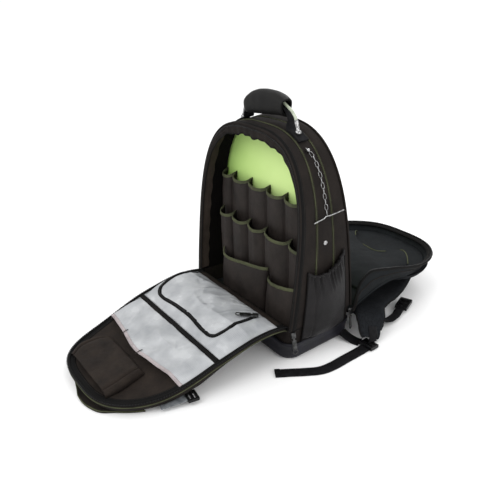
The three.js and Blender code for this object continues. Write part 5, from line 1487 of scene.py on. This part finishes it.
def handle_strap():
    """The handle's webbing with its doubled, sewn ends."""
    lying = [crown_point(share * HANDLE_ANCHOR_X, CROWN_LIFT) for share in LYING]
    bow = [share * HANDLE_HALF_SPAN for share in BOW]
    path = [vec(-p.x, p.y, p.z) for p in lying] + [bow_point(-x) for x in bow]
    path += [bow_point(x) for x in bow[-2::-1]] + lying[::-1]
    line = curve(path, 160)
    faces, wide = [], []
    for i, p in enumerate(line):
        along = run_at(line, i)
        rise = clamp01((p.z - crown_z(p.x) - CROWN_LIFT) / HANDLE_RISE)
        aside = vec(-math.sin(TURN * rise), math.cos(TURN * rise), CROWN_SLOPE * (1 - rise))
        faces.append(along.cross((aside - along * aside.dot(along)).normalized()))
        wide.append(lerp(1, 0.62, smooth(rise * 2)))
    shape = Shape().band(line, faces, HANDLE_WEBBING_WIDTH, wide=wide)
    marks = Shape()
    for part in (slice(0, 26), slice(-26, None)):
        over = [p + f * 1.6 for p, f in zip(line[part], faces[part])]
        shape.band(over, faces[part], HANDLE_WEBBING_WIDTH - 1, 1.4)
        for aside in (-10, 10):
            marks.stitches([p + vec(0, aside, 0.9 + CROWN_SLOPE * aside) for p in over])
    piece("handle_strap", shape, BLACK_WEBBING, ["handle_webbing"])
    piece("handle_strap_stitches", marks, DARK_THREAD)


# Half of the grip's section from its top down, as shares of its thickness and height.
GRIP_RING = table(
    "wide high",
    (0, 1),
    (0.2, 0.985),
    (0.36, 0.93),
    (0.46, 0.84),
    (0.5, 0.7),
    (0.5, 0.55),
    (0.47, 0.38),
    (0.42, 0.22),
    (0.34, 0.09),
    (0.2, 0.02),
    (0.06, 0),
)


def grip():
    """The padded wrap folded round the webbing and the cable, with bound ends."""
    across = vec(-math.sin(TURN), math.cos(TURN), 0)
    ring = [(row["wide"], row["high"]) for row in GRIP_RING]
    ring += [(-w, h) for w, h in reversed(ring[1:])]
    rows = []
    for s in turns(60):
        x = s * GRIP_HALF_LENGTH
        middle = bow_point(x)
        low = bow_point(0).z + GRIP_OVER - GRIP_HEIGHT + GRIP_TILT * x
        tall = middle.z + GRIP_OVER - low
        end = 1 - 0.06 * smooth((abs(s) - 0.85) / 0.15)
        row = []
        for w, h in ring:
            at = vec(middle.x, middle.y, low + h * tall) + across * w * GRIP_THICKNESS * end
            row.append(at + across * math.copysign(1.0, w) * crumple(at, 14, 101))
        rows.append(row)
    wrap = Shape().grid(rows, wrap=True)
    made = piece("grip_wrap", wrap, GRIP_CLOTH, ["handle_grip"], wall=3.2)
    trim = Shape()
    for row in (rows[0], rows[-1]):
        trim.tube(row, 1.5, closed=True)
    trim.tube([row[8] + across * 1.2 for row in rows], 0.9, 6)
    piece("grip_edges", trim, TAPE)


def cable():
    """The sleeved steel cable with its crimped terminals, rivet studs and the patches under them."""
    over = WEBBING_THICKNESS / 2 + CABLE_RADIUS + 5 * GAP
    seat = CROWN_LIFT + WEBBING_THICKNESS / 2 + GAP
    halves, ends = [], []
    for side in (1, -1):
        foot = crown_point(side * TERMINAL_X, seat + STUD_UNDER)
        lean = vec(-side * FERRULE_LEAN["in"], side * FERRULE_LEAN["back"], 1).normalized()
        start = foot + lean * (TERMINAL_LENGTH + 2 * GAP)
        high = bow_point(side * 0.76 * HANDLE_HALF_SPAN, over)
        low = start + lean * CABLE_RADIUS * 1.6
        halves.append([start - lean * 6, start, low, low.lerp(high, 0.5) + vec(side * 2, 0, 1.5), high])
        ends.append((side, foot, lean))
    bow = [bow_point(s * HANDLE_HALF_SPAN, over) for s in (-0.6, -0.4, -0.2, 0, 0.2, 0.4, 0.6)]
    line = even(curve(halves[1] + bow + halves[0][::-1], 240), 180)
    piece("cable_sleeve", Shape().tube(line, CABLE_RADIUS, 14), CABLE_SLEEVE, ["handle_cable"])
    for side, foot, lean in ends:
        name = "right" if side > 0 else "left"
        neck = [foot + lean * TERMINAL_LENGTH * s for s in spread(24)]
        shape = Shape().tube(neck, lambda s: CABLE_RADIUS * (1.35 - 0.18 * (0.28 < s < 0.36)), 16)
        base = crown_point(side * TERMINAL_X, seat)
        head = crown_point(side * TERMINAL_X, seat + STUD_UNDER + STUD_OVER)
        stud = [base.lerp(head, s) for s in spread(9)]
        shape.tube(stud, lambda s: CABLE_RADIUS * 2.1 * (1 - 2.2 * max(0, s - 0.5) ** 2), 20)
        piece(f"cable_end_{name}", shape, STEEL, [f"cable_terminal_{name}"], rounds=1)
        points = [side_point(crown_z(TERMINAL_X) + 3 - 11 * k, CROWN_SHARE, 0.9, side) for k in spread(14)]
        patch = Shape().band([at for at, _ in points], [out for _, out in points], 20, 1.4)
        piece(f"cable_patch_{name}", patch, TAPE)


def side_point(z, share, off, side=1):
    """A point of the side band at a height, standing off the surface, and the way out of it."""
    dz = 1.5
    slope = (half_width_at(z + dz, share) - half_width_at(z - dz, share)) / (2 * dz)
    out = vec(1, 0, -slope).normalized()
    at = vec(half_width_at(z, share), lerp(front_y(z), back_y(z), share), z) + out * (GUSSET_PUFF + off)
    return vec(side * at.x, at.y, at.z), vec(side * out.x, out.y, out.z)


CHAIN_LINKS = 13
LINK_WIRE = 1.1
LINK_WIDTH = 6.5
LINK_HOLD = 1.6
RIVET_RADIUS = 3.6
CHAIN_TOP_DROP = 32
CHAIN_BOTTOM_DROP = 151
BAR_LENGTH = 78
BAR_RADIUS = 1.3
SNAP_RADIUS = 5
SNAP_HEIGHT = 3
SNAP_Z = 252
CHAIN_OFF = LINK_WIDTH / 2 + 0.6
CHAIN_LINE = table("down share", (0, 0.43), (0.1, 0.5), (0.25, 0.52), (0.7, 0.525), (1, 0.535))
BAR_BENDS = table(
    "along up",
    (-0.43, -0.09),
    (-0.27, -0.059),
    (-0.1, -0.026),
    (-0.04, 0.013),
    (0.04, 0.013),
    (0.1, 0.0065),
    (0.33, 0.028),
    (0.57, 0.051),
)


def chain_place(down):
    """A point of the chain's line from its rivet, 0, to its end, 1, and the way out there."""
    share = column(CHAIN_LINE, "share", "down", down)
    top = lerp(FRONT_HEIGHT, BACK_HEIGHT, share)
    return side_point(top - lerp(CHAIN_TOP_DROP, CHAIN_BOTTOM_DROP, down), share, CHAIN_OFF)


def chain_link(here, after, out, roll_deg):
    """One long link between two places: a round wire bent into a stadium and a little twisted."""
    along = (after - here).normalized()
    straight = ((after - here).length + LINK_HOLD * LINK_WIRE - LINK_WIDTH) / 2
    across = along.cross(out).normalized()
    roll = math.radians(roll_deg)
    flat = out * math.cos(roll) + across * math.sin(roll)
    flat = (flat - along * flat.dot(along)).normalized()
    aside = along.cross(flat).normalized()
    ring = []
    for j in range(24):
        turn = 2 * math.pi * (j + 0.5) / 24
        way = along * math.cos(turn) + aside * math.sin(turn)
        end = along * math.copysign(straight, math.cos(turn))
        twist = flat * 0.5 * math.sin(2 * turn)
        ring.append((here + after) / 2 + end + way * (LINK_WIDTH - LINK_WIRE) / 2 + twist)
    return ring


def side_fittings():
    """The twisted chain with its rivet, the bent tape bar and the snap stud."""
    line = [chain_place(s) for s in spread(200)]
    places = even([at for at, _ in line], CHAIN_LINKS + 1)
    shape = Shape()
    for k, (here, after) in enumerate(zip(places, places[1:])):
        out = line[int((k + 0.5) / CHAIN_LINKS * 199)][1]
        shape.tube(chain_link(here, after, out, 50 if k % 2 else -40), LINK_WIRE / 2, closed=True)
    head, out = line[6]
    rivet = [head + out * lerp(-CHAIN_OFF, LINK_WIDTH / 2, s) for s in spread(7)]
    shape.tube(rivet, lambda s: RIVET_RADIUS * (1 - 3 * max(0, s - 0.6) ** 2), 18)
    piece("chain_links", shape, STEEL, ["tape_chain"])
    middle = places[-1] - UP * (2 * BAR_RADIUS + LINK_WIRE)
    path = curve([middle + vec(0, row["along"], row["up"]) * BAR_LENGTH for row in BAR_BENDS], 60)
    piece("bar_wire", Shape().tube(path, BAR_RADIUS, 12), STEEL, ["tape_bar"])
    snap, out = side_point(SNAP_Z, 0.5, -GAP / 2)
    stud = [snap + out * SNAP_HEIGHT * s for s in spread(8)]
    cap = Shape().tube(stud, lambda s: SNAP_RADIUS * (1 - 0.85 * s**3), 24)
    piece("snap_cap", cap, STEEL, ["snap_stud"], rounds=1)


# The lamps and the floor are in metres and watts.
LAMPS = table(
    "name at width power aim",
    ("key", (0.2, -1.7, 1.9), 1.3, 16, (0, -0.1, 0.2)),
    ("side", (1.9, 0.3, 1.1), 1.0, 7, (0.1, 0.0, 0.2)),
    ("back", (-0.6, 1.7, 1.6), 1.0, 9, (0, 0.1, 0.25)),
)
FLOOR_HALF_SIZE = 60
FLOOR_Z = -0.0004
FLOOR_WHITE = 0.96
SKY_STRENGTH = 1.08
SENSOR_WIDTH = 36


def floor_and_light():
    """A plain white floor under a white sky, and three soft lamps."""
    scene = bpy.context.scene
    mesh = bpy.data.meshes.new("floor")
    signs = [(-1, -1), (1, -1), (1, 1), (-1, 1)]
    corners = [(sx * FLOOR_HALF_SIZE, sy * FLOOR_HALF_SIZE, FLOOR_Z) for sx, sy in signs]
    mesh.from_pydata(corners, [], [(0, 1, 2, 3)])
    floor = bpy.data.objects.new("floor", mesh)
    scene.collection.objects.link(floor)
    ground = Finish("floor", 1.0, specular=0.0, coords="Object")
    ground.shader.inputs["Base Color"].default_value = [FLOOR_WHITE] * 3 + [1]
    mesh.materials.append(ground.material)
    world = bpy.data.worlds.new("studio")
    world.use_nodes = True
    sky = world.node_tree.nodes["Background"]
    sky.inputs["Color"].default_value = (1, 1, 1, 1)
    sky.inputs["Strength"].default_value = SKY_STRENGTH
    scene.world = world
    for row in LAMPS:
        light = bpy.data.lights.new(row["name"], "AREA")
        light.shape = "DISK"
        light.size = row["width"]
        light.energy = row["power"]
        lamp = bpy.data.objects.new(row["name"], light)
        lamp.location = row["at"]
        away = Vector(row["aim"]) - Vector(row["at"])
        lamp.rotation_euler = away.to_track_quat("-Z", "Y").to_euler()
        scene.collection.objects.link(lamp)
    scene.view_settings.view_transform = "Standard"


def camera():
    data = bpy.data.cameras.new("camera")
    data.sensor_fit = "HORIZONTAL"
    data.sensor_width = SENSOR_WIDTH
    data.lens = FOCAL_PX / PHOTO_WIDTH_PX * data.sensor_width
    made = bpy.data.objects.new("camera", data)
    azimuth, elevation = math.radians(CAMERA_AZIMUTH_DEG), math.radians(CAMERA_ELEVATION_DEG)
    level = math.cos(elevation)
    back = vec(math.sin(azimuth) * level, -math.cos(azimuth) * level, math.sin(elevation))
    right = UP.cross(back).normalized()
    turn = Matrix((right, back.cross(right), back)).transposed().to_4x4()
    made.matrix_world = Matrix.Translation(Vector(CAMERA_AT) * MM) @ turn
    bpy.context.scene.collection.objects.link(made)
    bpy.context.scene.camera = made


# Finishes of the frame's own pieces that stay, by how their names start.
KEPT = {
    "strap_adjuster": BUCKLE,
    "chest_clip": BUCKLE,
    "door_buckle": BUCKLE,
    "door_strap": GREY_WEBBING,
    "front_zip_slider": DARK_STEEL,
    "rear_zip_slider": DARK_STEEL,
    "window_zip_slider": DARK_STEEL,
}


def dress_frame():
    for name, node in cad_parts.items():
        finish = next((f for start, f in KEPT.items() if name.startswith(start)), None)
        if finish:
            node.data.materials.clear()
            node.data.materials.append(finish)
            soft = node.modifiers.new("bevel", "BEVEL")
            soft.width = 0.6 * MM
            soft.segments = 2
            soft.limit_method = "ANGLE"


camera()
floor_and_light()
moulded_base()
lower_body()
gusset("front_gusset", 0, FRONT_SEAM_SHARE, 1)
gusset("centre_gusset", FRONT_SEAM_SHARE, REAR_SEAM_SHARE, 2)
gusset("rear_gusset", REAR_SEAM_SHARE, 1, 3)
piped_seam("front_piping", FRONT_SEAM_SHARE)
piped_seam("rear_piping", REAR_SEAM_SHARE)
body_lining()
flange("front_flange", 0, -1, "front_zip_tape", left=10, top=22, right=7)
flange("rear_flange", 1, 1, "rear_zip_tape", left=7, top=12, right=7)
divider()
tool_pockets()
side_pocket()
door()
vinyl_pockets()
window_zip()
patch_pocket()
outer_pocket()
cover_board()
cover_wall()
sleeve()
back_pad()
for name, side in (("right", 1), ("left", -1)):
    shoulder_strap(name, side)
    strap_trims(name, side)
handle_strap()
grip()
cable()
side_fittings()
dress_frame()
